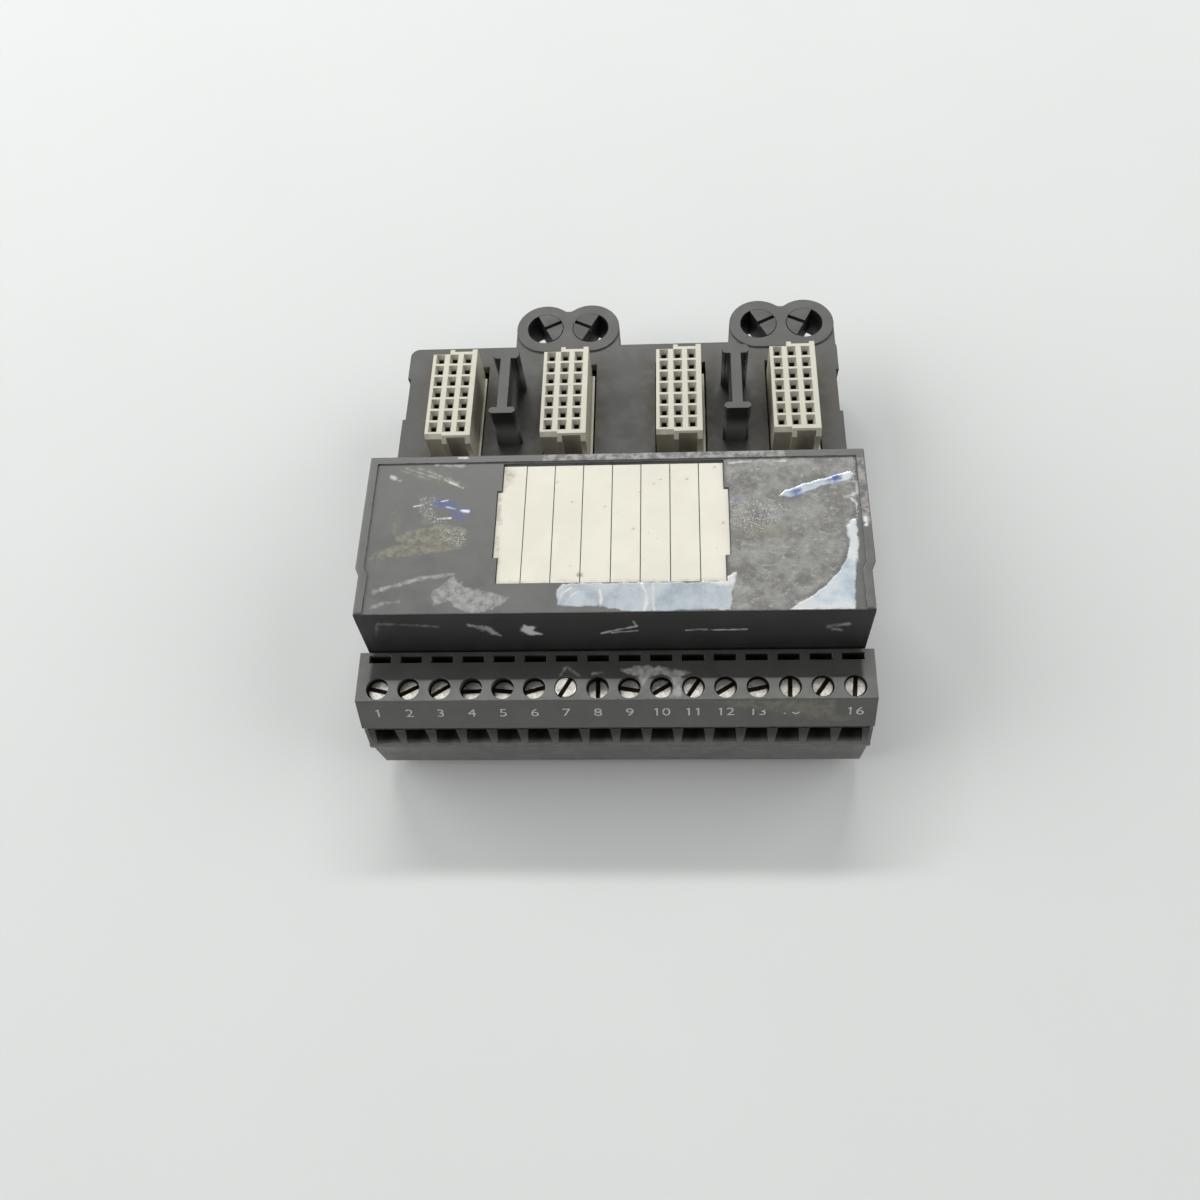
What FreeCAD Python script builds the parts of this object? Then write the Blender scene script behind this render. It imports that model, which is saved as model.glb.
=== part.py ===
"""Two-slot terminal block with screw terminals, card sockets and coding keys.

Millimetres. X runs along the terminal strip, +Y from the wire side to the key bosses and +Z from the
carrier to the labels. The origin is the middle of the footprint at the lowest level of the carrier tabs.
"""
import FreeCAD
import Part
import math
import os

# Poles of the terminal strip
POLES = 16
POLE_PITCH = 5.08
END_WALL = 0.86

# Card sockets: pin grid, spacing and the shift of the whole row
PIN_PITCH = 2.54
PIN_ROWS = 7
PIN_COLUMNS = 3
SOCKETS = 4
SOCKET_SPACING = 20.79
SOCKET_SHIFT = 0.45

# Lengths along Y, from the wire lip to the rear of the key bosses
STRIP_DEPTH = 12.53
COVER_LENGTH = 32.36
PLATE_LENGTH = 33.51
BOSS_OVERHANG = 9.75

# Heights along Z, from the tabs' lower faces upwards
TAB_HEIGHT = 2.8
TRAY_HEIGHT = 8.9
PLATE_HEIGHT = 6.7
COVER_RISE = 13.04
STRIP_RISE = 11.48
SOCKET_RISE = 6.8
POST_RISE = 10.0
BOSS_RISE = 0.35

# Walls and fits
WALL = 1.8
TOP_WALL = 2.3
PLATE_TOP_WALL = 2.0
FIT_GAP = 0.2
RUN_GAP = 0.08
CORNER_R = 1.8
EDGE_R = 0.5
SIDE_INSET = 0.2

# Screws, turned in as found: depth of the head below the strip's top and direction of its slot
SCREW_PITCH = 0.5
SCREW_TRAVEL = 2.9
SCREW_OPEN_DEPTH = 0.1
SCREW_STATE = (
    (1.40, 167), (1.35, 27), (1.40, 32), (1.90, 2), (1.90, 174), (1.50, 16), (0.15, 60), (1.70, 91),
    (1.50, 171), (1.40, 31), (1.00, 56), (1.30, 31), (1.40, 12), (1.00, 87), (0.90, 54), (0.85, 83),
)
SCREW_R = 1.68
SLOT_WIDTH = 0.55
SLOT_DEPTH = 0.8

# Section of the strip, back from the lip and down from its top
SHOULDER_BACK = 4.4
SHOULDER_DROP = 0.35
FACE_BACK = 1.46
FACE_DROP = 5.64
GROOVE_BACK = 2.07
GROOVE_DROP = 5.93
GROOVE_HEIGHT = 0.77
RIB_BACK = 1.62
RIB_DROP = 6.9
TOE_BACK = 0.42
TOE_DROP = 10.43
LIP_DROP = 10.68
ENTRY_DROP = 6.3
ENTRY_SPLAY = 0.25
EYEBROW_BACK = 1.5
EYEBROW_HEIGHT = 0.3
SKIRT_SETBACK = 0.3

# Screw axis and rear slots, measured from the strip's rear face
SCREW_INSET = 6.11
REAR_SLOT_INSET = 0.54
REAR_SLOT_DEPTH = 1.25
REAR_SLOT_SINK = 3.0
BORE_GAP = 0.14
WIRE_GAP = 0.12

# Clamp body: brass frame round the wire, with a threaded top bar
CLAMP_LENGTH = 4.8
CLAMP_SIDE = 0.35
CLAMP_FLOOR = 1.0
CLAMP_BAR = 1.5
THREAD_SIDES = 8
GUARD_THICKNESS = 0.5

# Circuit board
BOARD_THICKNESS = 1.6
LEDGE = 1.0

# Socket body about its own pin grid
SOCKET_INSET = 17.86
SOCKET_LEFT = 3.95
SOCKET_STEP = 0.82
SOCKET_RIB = 0.85
SOCKET_FACE = 3.35
SOCKET_RIDGE = 4.3
SOCKET_FLANGE = 4.95
SOCKET_FRONT = 9.75
SOCKET_REAR_LEFT = 8.75
SOCKET_REAR_RIGHT = 9.28
RIB_FRONT = 10.55
RIB_REAR = 9.76
FLANGE_FRONT = 10.6
FLANGE_REAR = 8.35
LEFT_CHAMFER = 0.7
FACE_CHAMFER = 0.3
RIB_CHAMFER = 1.1
FUNNEL_X = 1.6
FUNNEL_Y = 2.1
FUNNEL_DEPTH = 0.8
PIN_HOLE = 0.9
OPENING_SIDE = 0.3
OPENING_REAR = 1.25

# Guide posts between the sockets: I-section
POST_WIDTH = 4.7
POST_FRONT = 7.15
POST_REAR = 6.8
POST_FRONT_PLATE = 1.35
POST_REAR_PLATE = 1.9
POST_RIB = 1.85
POST_CHAMFER = 0.45

# Key bosses and half-round keys
BOSS_R = 5.65
KEY_SPACING = 8.84
BOSS_WAIST = 4.14
BOSS_SHIFT = -0.6
TONGUE_THICKNESS = PLATE_HEIGHT
KEY_BORE_R = 3.5
KEY_PROUD = 0.1
KEY_BAR_WIDTH = 1.4
KEY_BAR_HEIGHT = 1.0
KEY_SLOT_WIDTH = 0.7
KEY_SLOT_DEPTH = 1.0
KEY_ANGLE = 27

# Cover: lip, label recess and narrower front
LIP_WIDTH = 1.5
PANEL_DROP = 0.3
NARROWING = 0.65
NARROW_START = 21.06
NARROW_LENGTH = 1.4
FRONT_LEAN = 3.13
FRONT_FOOT = 8.24
FRONT_DRAFT = 0.68
COVER_LAP = 3.76
LABEL_WIDTH = 36.5
LABEL_TAB = 0.75
LABEL_LENGTH = 21.85
LABEL_TAB_START = 5.05
LABEL_TAB_LENGTH = 12.2
LABEL_SHIFT = -0.18
LABEL_INSET = 2.2
LABEL_DROP = 0.8
LABEL_THICKNESS = 0.3
LABEL_PLAY = 0.15
LABEL_REAR_PLAY = 0.45

# Carrier tabs and side notches
TAB_WIDTH = 8.0
TAB_NECK = 3.0
TAB_FOOT = 6.0
TAB_FOOT_HEIGHT = 1.3
TAB_SPREAD = 56.0
TAB_FRONT = 2.0
TAB_REAR = 14.0
NOTCH_LENGTH = 9.5
NOTCH_DEPTH = 0.55
NOTCH_REAR = 7.1

# Stations worked out from the sizes above
STRIP_WIDTH = POLES * POLE_PITCH + 2 * END_WALL
COVER_WIDTH = STRIP_WIDTH
BODY_WIDTH = STRIP_WIDTH - 2 * SIDE_INSET
LENGTH = STRIP_DEPTH + FIT_GAP + COVER_LENGTH + PLATE_LENGTH + BOSS_OVERHANG
Y_LIP = -LENGTH / 2
Y_STRIP = Y_LIP + STRIP_DEPTH
Y_COVER = Y_STRIP + FIT_GAP
Y_STEP = Y_COVER + COVER_LENGTH
Y_REAR = Y_STEP + PLATE_LENGTH
Y_BOSS = Y_REAR + BOSS_OVERHANG - BOSS_R
Y_TRAY = Y_LIP + SKIRT_SETBACK
Y_SCREW = Y_STRIP - SCREW_INSET
Y_SOCKET = Y_STEP + SOCKET_INSET
Z_BACK = TAB_HEIGHT
Z_SEAM = Z_BACK + TRAY_HEIGHT
Z_BOARD = Z_SEAM
Z_PLATE = Z_SEAM + PLATE_HEIGHT
Z_TOP = Z_PLATE + COVER_RISE
Z_STRIP = Z_SEAM + STRIP_RISE
Z_SOCKET = Z_PLATE + SOCKET_RISE
Z_BOSS = Z_PLATE + BOSS_RISE
Z_TONGUE = Z_PLATE - TONGUE_THICKNESS
Z_WINDOW = Z_BOARD + CLAMP_FLOOR
Z_BAR = Z_WINDOW + SCREW_TRAVEL + GUARD_THICKNESS + 2 * RUN_GAP
Z_CLAMP_TOP = Z_BAR + CLAMP_BAR
POLE_OPENING = 2 * (SCREW_R + WIRE_GAP)
CLAMP_WIDTH = POLE_OPENING + 2 * CLAMP_SIDE
BORE_R = SCREW_R + BORE_GAP
Z_KEY = Z_TONGUE + KEY_BAR_HEIGHT
SCREW_LENGTH = Z_STRIP - SCREW_OPEN_DEPTH - (Z_BAR - RUN_GAP / 2)
INNER_X = BODY_WIDTH / 2 - WALL
POLE_X = [(i - (POLES - 1) / 2) * POLE_PITCH for i in range(POLES)]
SOCKET_X = [(i - (SOCKETS - 1) / 2) * SOCKET_SPACING + SOCKET_SHIFT for i in range(SOCKETS)]
POST_X = [(SOCKET_X[0] + SOCKET_X[1]) / 2, (SOCKET_X[2] + SOCKET_X[3]) / 2]
BOSS_X = [SOCKET_X[1] + BOSS_SHIFT, SOCKET_X[3] + BOSS_SHIFT]

UP = FreeCAD.Vector(0, 0, 1)


def box(x0, x1, y0, y1, z0, z1):
    """Block between two corners."""
    return Part.makeBox(x1 - x0, y1 - y0, z1 - z0, FreeCAD.Vector(x0, y0, z0))


def cylinder(radius, x, y, z0, z1):
    """Upright cylinder between two levels."""
    return Part.makeCylinder(radius, z1 - z0, FreeCAD.Vector(x, y, z0), UP)


def prism_x(profile, x0, x1):
    """Section in Y and Z, drawn out along X."""
    points = [FreeCAD.Vector(x0, y, z) for y, z in profile]
    face = Part.Face(Part.makePolygon(points + points[:1]))
    return face.extrude(FreeCAD.Vector(x1 - x0, 0, 0))


def prism_y(profile, y0, y1):
    """Section in X and Z, drawn out along Y."""
    points = [FreeCAD.Vector(x, y0, z) for x, z in profile]
    face = Part.Face(Part.makePolygon(points + points[:1]))
    return face.extrude(FreeCAD.Vector(0, y1 - y0, 0))


def prism_z(profile, z0, z1):
    """Plan outline in X and Y, drawn up along Z."""
    points = [FreeCAD.Vector(x, y, z0) for x, y in profile]
    face = Part.Face(Part.makePolygon(points + points[:1]))
    return face.extrude(FreeCAD.Vector(0, 0, z1 - z0))


def joined(shapes):
    """Shapes fused to one solid, with flush faces merged."""
    return shapes[0].fuse(shapes[1:]).removeSplitter()


def rounded(shape, radius, chosen):
    """Fillet on the edges that the test picks by their middle point and direction."""
    edges = []
    for edge in shape.Edges:
        middle = edge.valueAt((edge.FirstParameter + edge.LastParameter) / 2)
        direction = edge.tangentAt((edge.FirstParameter + edge.LastParameter) / 2)
        if chosen(middle, direction):
            edges.append(edge)
    return shape.makeFillet(radius, edges)


def upright(direction):
    """True for an edge that runs along Z."""
    return abs(direction.z) > 0.99


def chamfered(shape, size):
    """Chamfer on all upright edges."""
    return shape.makeChamfer(size, [e for e in shape.Edges if upright(e.tangentAt(e.FirstParameter))])


def moved(shape, x, y, z):
    """Copy of a shape, shifted."""
    copy = shape.copy()
    copy.translate(FreeCAD.Vector(x, y, z))
    return copy


def body_block(y0, y1, z0, z1):
    """Outer block of the tray and the plate, with round rear corners."""
    block = box(-BODY_WIDTH / 2, BODY_WIDTH / 2, y0, y1, z0, z1)
    return rounded(block, CORNER_R, lambda p, d: upright(d) and p.y > y1 - 0.01)


def side_notches(z0, z1):
    """Shallow notches in both sides of the body."""
    rear = Y_REAR - NOTCH_REAR
    half = BODY_WIDTH / 2
    left = box(-half - 1, -half + NOTCH_DEPTH, rear - NOTCH_LENGTH, rear, z0, z1)
    right = box(half - NOTCH_DEPTH, half + 1, rear - NOTCH_LENGTH, rear, z0, z1)
    return [left, right]


def make_tray():
    """Tray behind the board: floor, walls with a ledge for the board and carrier tabs."""
    z_ledge = Z_BOARD - BOARD_THICKNESS
    shell = body_block(Y_TRAY, Y_REAR, Z_BACK, Z_SEAM)
    seat = box(-INNER_X, INNER_X, Y_TRAY + WALL, Y_REAR - WALL, z_ledge, Z_SEAM + 1)
    inset = WALL + LEDGE
    well = box(-INNER_X + LEDGE, INNER_X - LEDGE, Y_TRAY + inset, Y_REAR - inset, Z_BACK + WALL, Z_SEAM)
    shell = shell.cut([seat, well] + side_notches(Z_BACK - 1, Z_SEAM + 1))
    tabs = []
    for y_neck in (Y_STRIP - TAB_FRONT, Y_REAR - TAB_REAR):
        profile = [
            (y_neck, Z_BACK + WALL / 2),
            (y_neck, 0.0),
            (y_neck + TAB_FOOT - 0.5, 0.0),
            (y_neck + TAB_FOOT, 0.5),
            (y_neck + TAB_FOOT, TAB_FOOT_HEIGHT),
            (y_neck + TAB_NECK, TAB_FOOT_HEIGHT),
            (y_neck + TAB_NECK, Z_BACK + WALL / 2),
        ]
        for x in (-TAB_SPREAD / 2, TAB_SPREAD / 2):
            tabs.append(prism_x(profile, x - TAB_WIDTH / 2, x + TAB_WIDTH / 2))
    return joined([shell] + tabs)


def boss_outline(x, front, square):
    """Plan of a key boss: two round ends, a waisted rear and a straight front.

    The front is tangent to both ends, or square-cornered where it runs into the plate.
    """
    half = KEY_SPACING / 2
    waist_r = (half ** 2 + BOSS_WAIST ** 2 - BOSS_R ** 2) / (2 * (BOSS_R - BOSS_WAIST))
    waist_y = BOSS_WAIST + waist_r
    reach = BOSS_R / (BOSS_R + waist_r)
    join = FreeCAD.Vector(half - half * reach, waist_y * reach, 0)
    side = BOSS_R + half

    def at(dx, dy):
        return FreeCAD.Vector(x + dx, Y_BOSS + dy, 0)

    def end_top(sign):
        return at(sign * (half + BOSS_R * math.sin(math.radians(20))), BOSS_R * math.cos(math.radians(20)))

    right = Part.Arc(at(side, 0), end_top(1), at(join.x, join.y)).toShape()
    waist = Part.Arc(at(join.x, join.y), at(0, BOSS_WAIST), at(-join.x, join.y)).toShape()
    left = Part.Arc(at(-join.x, join.y), end_top(-1), at(-side, 0)).toShape()
    if square:
        corners = [at(-side, 0), at(-side, front), at(side, front), at(side, 0)]
        closing = [Part.makeLine(corners[i], corners[i + 1]) for i in range(3)]
    else:
        diagonal = BOSS_R * math.sqrt(0.5)
        closing = [
            Part.Arc(at(-side, 0), at(-half - diagonal, -diagonal), at(-half, -BOSS_R)).toShape(),
            Part.makeLine(at(-half, -BOSS_R), at(half, -BOSS_R)),
            Part.Arc(at(half, -BOSS_R), at(half + diagonal, -diagonal), at(side, 0)).toShape(),
        ]
    return Part.Face(Part.Wire([right, waist, left] + closing))


def key_axes():
    """Axis of each key bore, with the direction of its open half."""
    axes = []
    for x in BOSS_X:
        axes.append((x - KEY_SPACING / 2, 180 + KEY_ANGLE))
        axes.append((x + KEY_SPACING / 2, -KEY_ANGLE))
    return axes


def make_plate():
    """Plate round the sockets, with key bosses, guide posts and socket openings."""
    y_front = Y_STEP - COVER_LAP
    shell = body_block(y_front, Y_REAR, Z_SEAM, Z_PLATE)
    room = box(-INNER_X, INNER_X, y_front - 1, Y_REAR - WALL, Z_SEAM - 1, Z_PLATE - PLATE_TOP_WALL)
    shell = shell.cut(room)
    adds = []
    for x in BOSS_X:
        tongue = boss_outline(x, Y_REAR - WALL / 2 - Y_BOSS, True)
        tongue.translate(FreeCAD.Vector(0, 0, Z_TONGUE))
        adds.append(tongue.extrude(FreeCAD.Vector(0, 0, TONGUE_THICKNESS)))
        face = boss_outline(x, 0, False)
        face.translate(FreeCAD.Vector(0, 0, Z_PLATE - 0.5))
        adds.append(face.extrude(FreeCAD.Vector(0, 0, BOSS_RISE + 0.5)))
    for x in POST_X:
        adds.append(make_post(x))
    solid = joined([shell] + adds)
    cuts = side_notches(Z_SEAM - 1, Z_PLATE + 1)
    for x in SOCKET_X:
        cuts.append(box(
            x - SOCKET_LEFT - OPENING_SIDE, x + SOCKET_FLANGE + OPENING_SIDE,
            Y_SOCKET - FLANGE_FRONT - OPENING_SIDE, Y_SOCKET + RIB_REAR + OPENING_REAR,
            Z_SEAM, Z_PLATE + 1))
    for x, _ in key_axes():
        half = KEY_BAR_WIDTH / 2
        bar = box(x - half, x + half, Y_BOSS - BOSS_R, Y_BOSS + BOSS_R, Z_TONGUE - 2, Z_KEY)
        cuts.append(cylinder(KEY_BORE_R, x, Y_BOSS, Z_TONGUE - 1, Z_BOSS + 1).cut(bar))
    return solid.cut(cuts)


def make_post(x):
    """I-section guide post that stands on the plate."""
    z0 = Z_PLATE - 0.5
    z1 = Z_PLATE + POST_RISE
    y_front = Y_SOCKET - POST_FRONT
    y_rear = Y_SOCKET + POST_REAR
    half = POST_WIDTH / 2
    front = box(x - half, x + half, y_front, y_front + POST_FRONT_PLATE, z0, z1)
    front = chamfered(front, POST_CHAMFER)
    rear = box(x - half, x + half, y_rear - POST_REAR_PLATE, y_rear, z0, z1)
    rear = chamfered(rear, POST_CHAMFER)
    rib = box(x - POST_RIB / 2, x + POST_RIB / 2, y_front + 0.5, y_rear - 0.5, z0, z1)
    return joined([front, rear, rib])


def make_key(x, open_direction):
    """Half-round key that rests on the bar at the foot of its bore, with a driver slot on top."""
    stem = KEY_BORE_R - RUN_GAP
    foot = Z_KEY + RUN_GAP
    top = Z_BOSS + KEY_PROUD
    axis = FreeCAD.Vector(0, 0, foot)
    key = Part.makeCylinder(stem, top - foot, axis, UP, 180)
    key.rotate(FreeCAD.Vector(0, 0, 0), UP, 90)
    slot = box(-10, 0, -KEY_SLOT_WIDTH / 2, KEY_SLOT_WIDTH / 2, top - KEY_SLOT_DEPTH, top + 1)
    key = key.cut(slot)
    key.rotate(FreeCAD.Vector(0, 0, 0), UP, open_direction)
    key.translate(FreeCAD.Vector(x, Y_BOSS, 0))
    return key


def label_outline(grow, rear):
    """Plan of the label card, wider over its middle, with an allowance all round."""
    half = LABEL_WIDTH / 2 + grow
    tab = half + LABEL_TAB
    y_rear = Y_STEP - LABEL_INSET
    y_front = y_rear - LABEL_LENGTH - grow
    y_tab = y_rear - LABEL_TAB_START + grow
    y_tab_end = y_rear - LABEL_TAB_START - LABEL_TAB_LENGTH - grow
    right = [
        (half, y_front), (half, y_tab_end), (tab, y_tab_end),
        (tab, y_tab), (half, y_tab), (half, y_rear + rear)]
    left = [(-x, y) for x, y in reversed(right)]
    return [(x + LABEL_SHIFT, y) for x, y in right + left]


def make_cover():
    """Cover over the board: sloped front wall, lipped top with the label recess and open underside."""
    half = COVER_WIDTH / 2
    y_edge = Y_COVER + FRONT_LEAN
    z_foot = Z_TOP - FRONT_FOOT
    y_lap = Y_STEP - COVER_LAP - FIT_GAP
    outer = prism_x([
        (Y_STEP, Z_PLATE), (Y_STEP, Z_TOP), (y_edge, Z_TOP), (Y_COVER, z_foot),
        (Y_COVER, Z_SEAM), (y_lap, Z_SEAM), (y_lap, Z_PLATE)], -half, half)
    y_narrow = Y_STEP - NARROW_START
    for sign in (-1, 1):
        outer = outer.cut(prism_z([
            (sign * (half + 1), y_narrow), (sign * half, y_narrow),
            (sign * (half - NARROWING), y_narrow - NARROW_LENGTH),
            (sign * (half - NARROWING), Y_COVER - 1), (sign * (half + 1), Y_COVER - 1)],
            Z_SEAM - 1, Z_TOP + 1))
    outer = rounded(outer, EDGE_R, lambda p, d: p.z > Z_TOP - 0.01)
    side = half - NARROWING
    z_draft = Z_TOP - 2 * EDGE_R
    for sign in (-1, 1):
        outer = outer.cut(prism_y([
            (sign * side, z_draft), (sign * (side - FRONT_DRAFT), z_foot),
            (sign * (side - FRONT_DRAFT), Z_SEAM - 1), (sign * (half + 1), Z_SEAM - 1),
            (sign * (half + 1), z_draft)],
            Y_COVER - 1, y_narrow - NARROW_LENGTH))
    inner = half - NARROWING - WALL
    room = prism_x([
        (Y_STEP - WALL, Z_SEAM - 1), (Y_STEP - WALL, Z_TOP - TOP_WALL), (y_edge + WALL, Z_TOP - TOP_WALL),
        (Y_COVER + WALL, z_foot), (Y_COVER + WALL, Z_SEAM - 1)], -inner, inner)
    inside = half - LIP_WIDTH
    panel = box(-inside, inside, Y_COVER - 1, Y_STEP - LIP_WIDTH, Z_TOP - PANEL_DROP, Z_TOP + 1)
    narrow = half - NARROWING - LIP_WIDTH
    sides = []
    for sign in (-1, 1):
        sides.append(prism_z([
            (sign * narrow, Y_COVER - 2), (sign * narrow, y_narrow - NARROW_LENGTH),
            (sign * inside, y_narrow), (sign * (half + 1), y_narrow), (sign * (half + 1), Y_COVER - 2)],
            Z_TOP - 2, Z_TOP + 2))
    panel = panel.cut(sides)
    recess = prism_z(label_outline(LABEL_PLAY, LABEL_REAR_PLAY), Z_TOP - LABEL_DROP, Z_TOP + 1)
    return outer.cut([room, panel, recess])


def make_label():
    """Label card in the cover's recess."""
    base = Z_TOP - LABEL_DROP
    return prism_z(label_outline(0, 0), base, base + LABEL_THICKNESS)


def make_board():
    """Circuit board on the tray's ledge."""
    side = INNER_X - FIT_GAP
    y0 = Y_TRAY + WALL + FIT_GAP
    y1 = Y_REAR - WALL - FIT_GAP
    return box(-side, side, y0, y1, Z_BOARD - BOARD_THICKNESS, Z_BOARD)


def pin_positions():
    """Pin centres of one socket about its middle."""
    columns = [(i - (PIN_COLUMNS - 1) / 2) * PIN_PITCH for i in range(PIN_COLUMNS)]
    rows = [(i - (PIN_ROWS - 1) / 2) * PIN_PITCH for i in range(PIN_ROWS)]
    return [(x, y) for x in columns for y in rows]


def socket_bar(x0, x1, front, rear, chamfer):
    """Upright bar of the socket's section, chamfered along its front top edge."""
    return prism_x([
        (-front, Z_BOARD), (-front, Z_SOCKET - chamfer), (-front + chamfer, Z_SOCKET),
        (rear, Z_SOCKET), (rear, Z_BOARD)], x0, x1)


def make_socket():
    """Socket about its own middle: stepped body, two ribs, side flange and funnel entries."""
    body = joined([
        socket_bar(-SOCKET_LEFT, -SOCKET_STEP, SOCKET_FRONT, SOCKET_REAR_LEFT, LEFT_CHAMFER),
        socket_bar(-SOCKET_STEP, SOCKET_FACE, SOCKET_FRONT, SOCKET_REAR_RIGHT, FACE_CHAMFER),
        socket_bar(-SOCKET_STEP, -SOCKET_STEP + SOCKET_RIB, RIB_FRONT, RIB_REAR, RIB_CHAMFER),
        socket_bar(SOCKET_FACE, SOCKET_RIDGE, RIB_FRONT, RIB_REAR, RIB_CHAMFER),
        box(SOCKET_FACE, SOCKET_FLANGE, -FLANGE_FRONT, FLANGE_REAR, Z_BOARD, Z_PLATE - 0.2)])
    half = PIN_HOLE / 2
    funnel = Part.makeWedge(
        -half, 0, -half, -FUNNEL_Y / 2, -FUNNEL_X / 2, half, FUNNEL_DEPTH, half, FUNNEL_Y / 2, FUNNEL_X / 2)
    funnel.rotate(FreeCAD.Vector(0, 0, 0), FreeCAD.Vector(1, 0, 0), 90)
    funnel.translate(FreeCAD.Vector(0, 0, Z_SOCKET - FUNNEL_DEPTH))
    hole = box(-half, half, -half, half, Z_BOARD - 1, Z_SOCKET - FUNNEL_DEPTH)
    entry = joined([funnel, hole])
    return body.cut([moved(entry, x, y, 0) for x, y in pin_positions()])


def make_strip():
    """Sixteen-pole moulding: bores, clamp chambers, splayed wire entries under eyebrows and rear slots."""
    profile = [
        (Y_STRIP, Z_BOARD), (Y_STRIP, Z_STRIP),
        (Y_LIP + SHOULDER_BACK, Z_STRIP - SHOULDER_DROP), (Y_LIP + FACE_BACK, Z_STRIP - FACE_DROP),
        (Y_LIP + GROOVE_BACK, Z_STRIP - GROOVE_DROP),
        (Y_LIP + GROOVE_BACK, Z_STRIP - GROOVE_DROP - GROOVE_HEIGHT),
        (Y_LIP + RIB_BACK, Z_STRIP - RIB_DROP), (Y_LIP + TOE_BACK, Z_STRIP - TOE_DROP),
        (Y_LIP, Z_STRIP - LIP_DROP), (Y_LIP, Z_BOARD)]
    body = prism_x(profile, -STRIP_WIDTH / 2, STRIP_WIDTH / 2)
    half = POLE_OPENING / 2
    upper = half - ENTRY_SPLAY
    lower = half + ENTRY_SPLAY
    y0 = Y_SCREW - CLAMP_LENGTH / 2
    y1 = Y_SCREW + CLAMP_LENGTH / 2
    y_slot = Y_STRIP - REAR_SLOT_INSET
    z_entry = Z_STRIP - ENTRY_DROP
    eyebrows = []
    cuts = []
    for x in POLE_X:
        eyebrows.append(box(
            x - lower, x + lower, Y_LIP + EYEBROW_BACK, Y_LIP + GROOVE_BACK + EYEBROW_HEIGHT,
            z_entry, z_entry + EYEBROW_HEIGHT))
        cuts.append(cylinder(BORE_R, x, Y_SCREW, Z_BAR, Z_STRIP + 1))
        cuts.append(box(x - CLAMP_WIDTH / 2, x + CLAMP_WIDTH / 2, y0, y1, Z_BOARD - 1, Z_CLAMP_TOP))
        cuts.append(prism_y([
            (x - lower, Z_WINDOW), (x + lower, Z_WINDOW), (x + upper, z_entry), (x - upper, z_entry)],
            Y_LIP - 1, Y_SCREW))
        cuts.append(box(
            x - half, x + half, y_slot - REAR_SLOT_DEPTH, y_slot, Z_STRIP - REAR_SLOT_SINK, Z_STRIP + 1))
    return joined([body] + eyebrows).cut(cuts)


def make_clamp_bodies():
    """Brass clamp frames: wire window and threaded top bar."""
    half = CLAMP_WIDTH / 2
    length = CLAMP_LENGTH / 2
    frame = box(-half, half, -length, length, Z_BOARD, Z_CLAMP_TOP)
    window = box(-half + CLAMP_SIDE, half - CLAMP_SIDE, -length - 1, length + 1, Z_WINDOW, Z_BAR)
    corner = (SCREW_R + RUN_GAP) / math.cos(math.pi / THREAD_SIDES)
    turns = [2 * math.pi * i / THREAD_SIDES for i in range(THREAD_SIDES)]
    points = [(corner * math.cos(t), corner * math.sin(t)) for t in turns]
    thread = prism_z(points, Z_BAR - 0.1, Z_CLAMP_TOP + 1)
    clamp = frame.cut([window, thread])
    return Part.makeCompound([moved(clamp, x, Y_SCREW, 0) for x in POLE_X])


def make_screw(x, depth, slot_angle):
    """Slotted headless clamp screw, turned in to its own depth."""
    top = Z_STRIP - depth
    screw = cylinder(SCREW_R, 0, 0, top - SCREW_LENGTH, top)
    slot = box(-SCREW_R - 1, SCREW_R + 1, -SLOT_WIDTH / 2, SLOT_WIDTH / 2, top - SLOT_DEPTH, top + 1)
    screw = screw.cut(slot)
    screw.rotate(FreeCAD.Vector(0, 0, 0), UP, slot_angle)
    screw.translate(FreeCAD.Vector(x, Y_SCREW, 0))
    return screw


def make_guard(x, depth):
    """Plate that the screw presses on the wire."""
    top = Z_STRIP - depth - SCREW_LENGTH - RUN_GAP / 2
    half = CLAMP_WIDTH / 2 - CLAMP_SIDE - RUN_GAP
    length = CLAMP_LENGTH / 2
    return box(x - half, x + half, Y_SCREW - length, Y_SCREW + length, top - GUARD_THICKNESS, top)


def build():
    """All pieces by node name."""
    parts = {
        "back_tray": make_tray(),
        "socket_plate": make_plate(),
        "terminal_cover": make_cover(),
        "label_card": make_label(),
        "circuit_board": make_board(),
        "terminal_strip": make_strip(),
        "clamp_bodies": make_clamp_bodies(),
    }
    socket = make_socket()
    for i, x in enumerate(SOCKET_X):
        parts["card_socket_%d" % (i + 1)] = moved(socket, x, Y_SOCKET, 0)
    for i, (x, direction) in enumerate(key_axes()):
        parts["key_%d" % (i + 1)] = make_key(x, direction)
    for i, x in enumerate(POLE_X):
        depth, angle = SCREW_STATE[i]
        parts["clamp_screw_%02d" % (i + 1)] = make_screw(x, depth, angle)
        parts["wire_guard_%02d" % (i + 1)] = make_guard(x, depth)
    return parts


os.makedirs("parts", exist_ok=True)
for name, shape in build().items():
    shape.exportStep("parts/%s.step" % name)
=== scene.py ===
"""Looks of a terminal block with sixteen screw poles and two card places, round its CAD frame.

Sizes are written in millimetres in the frame of the part, and meshes are made in metres.
"""
import logging
import math
from dataclasses import dataclass
from enum import Enum
from functools import cached_property, partial
from typing import Callable, Optional, Sequence, Union

import bmesh
import bpy
import numpy as np
from mathutils import Matrix, Vector


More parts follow.
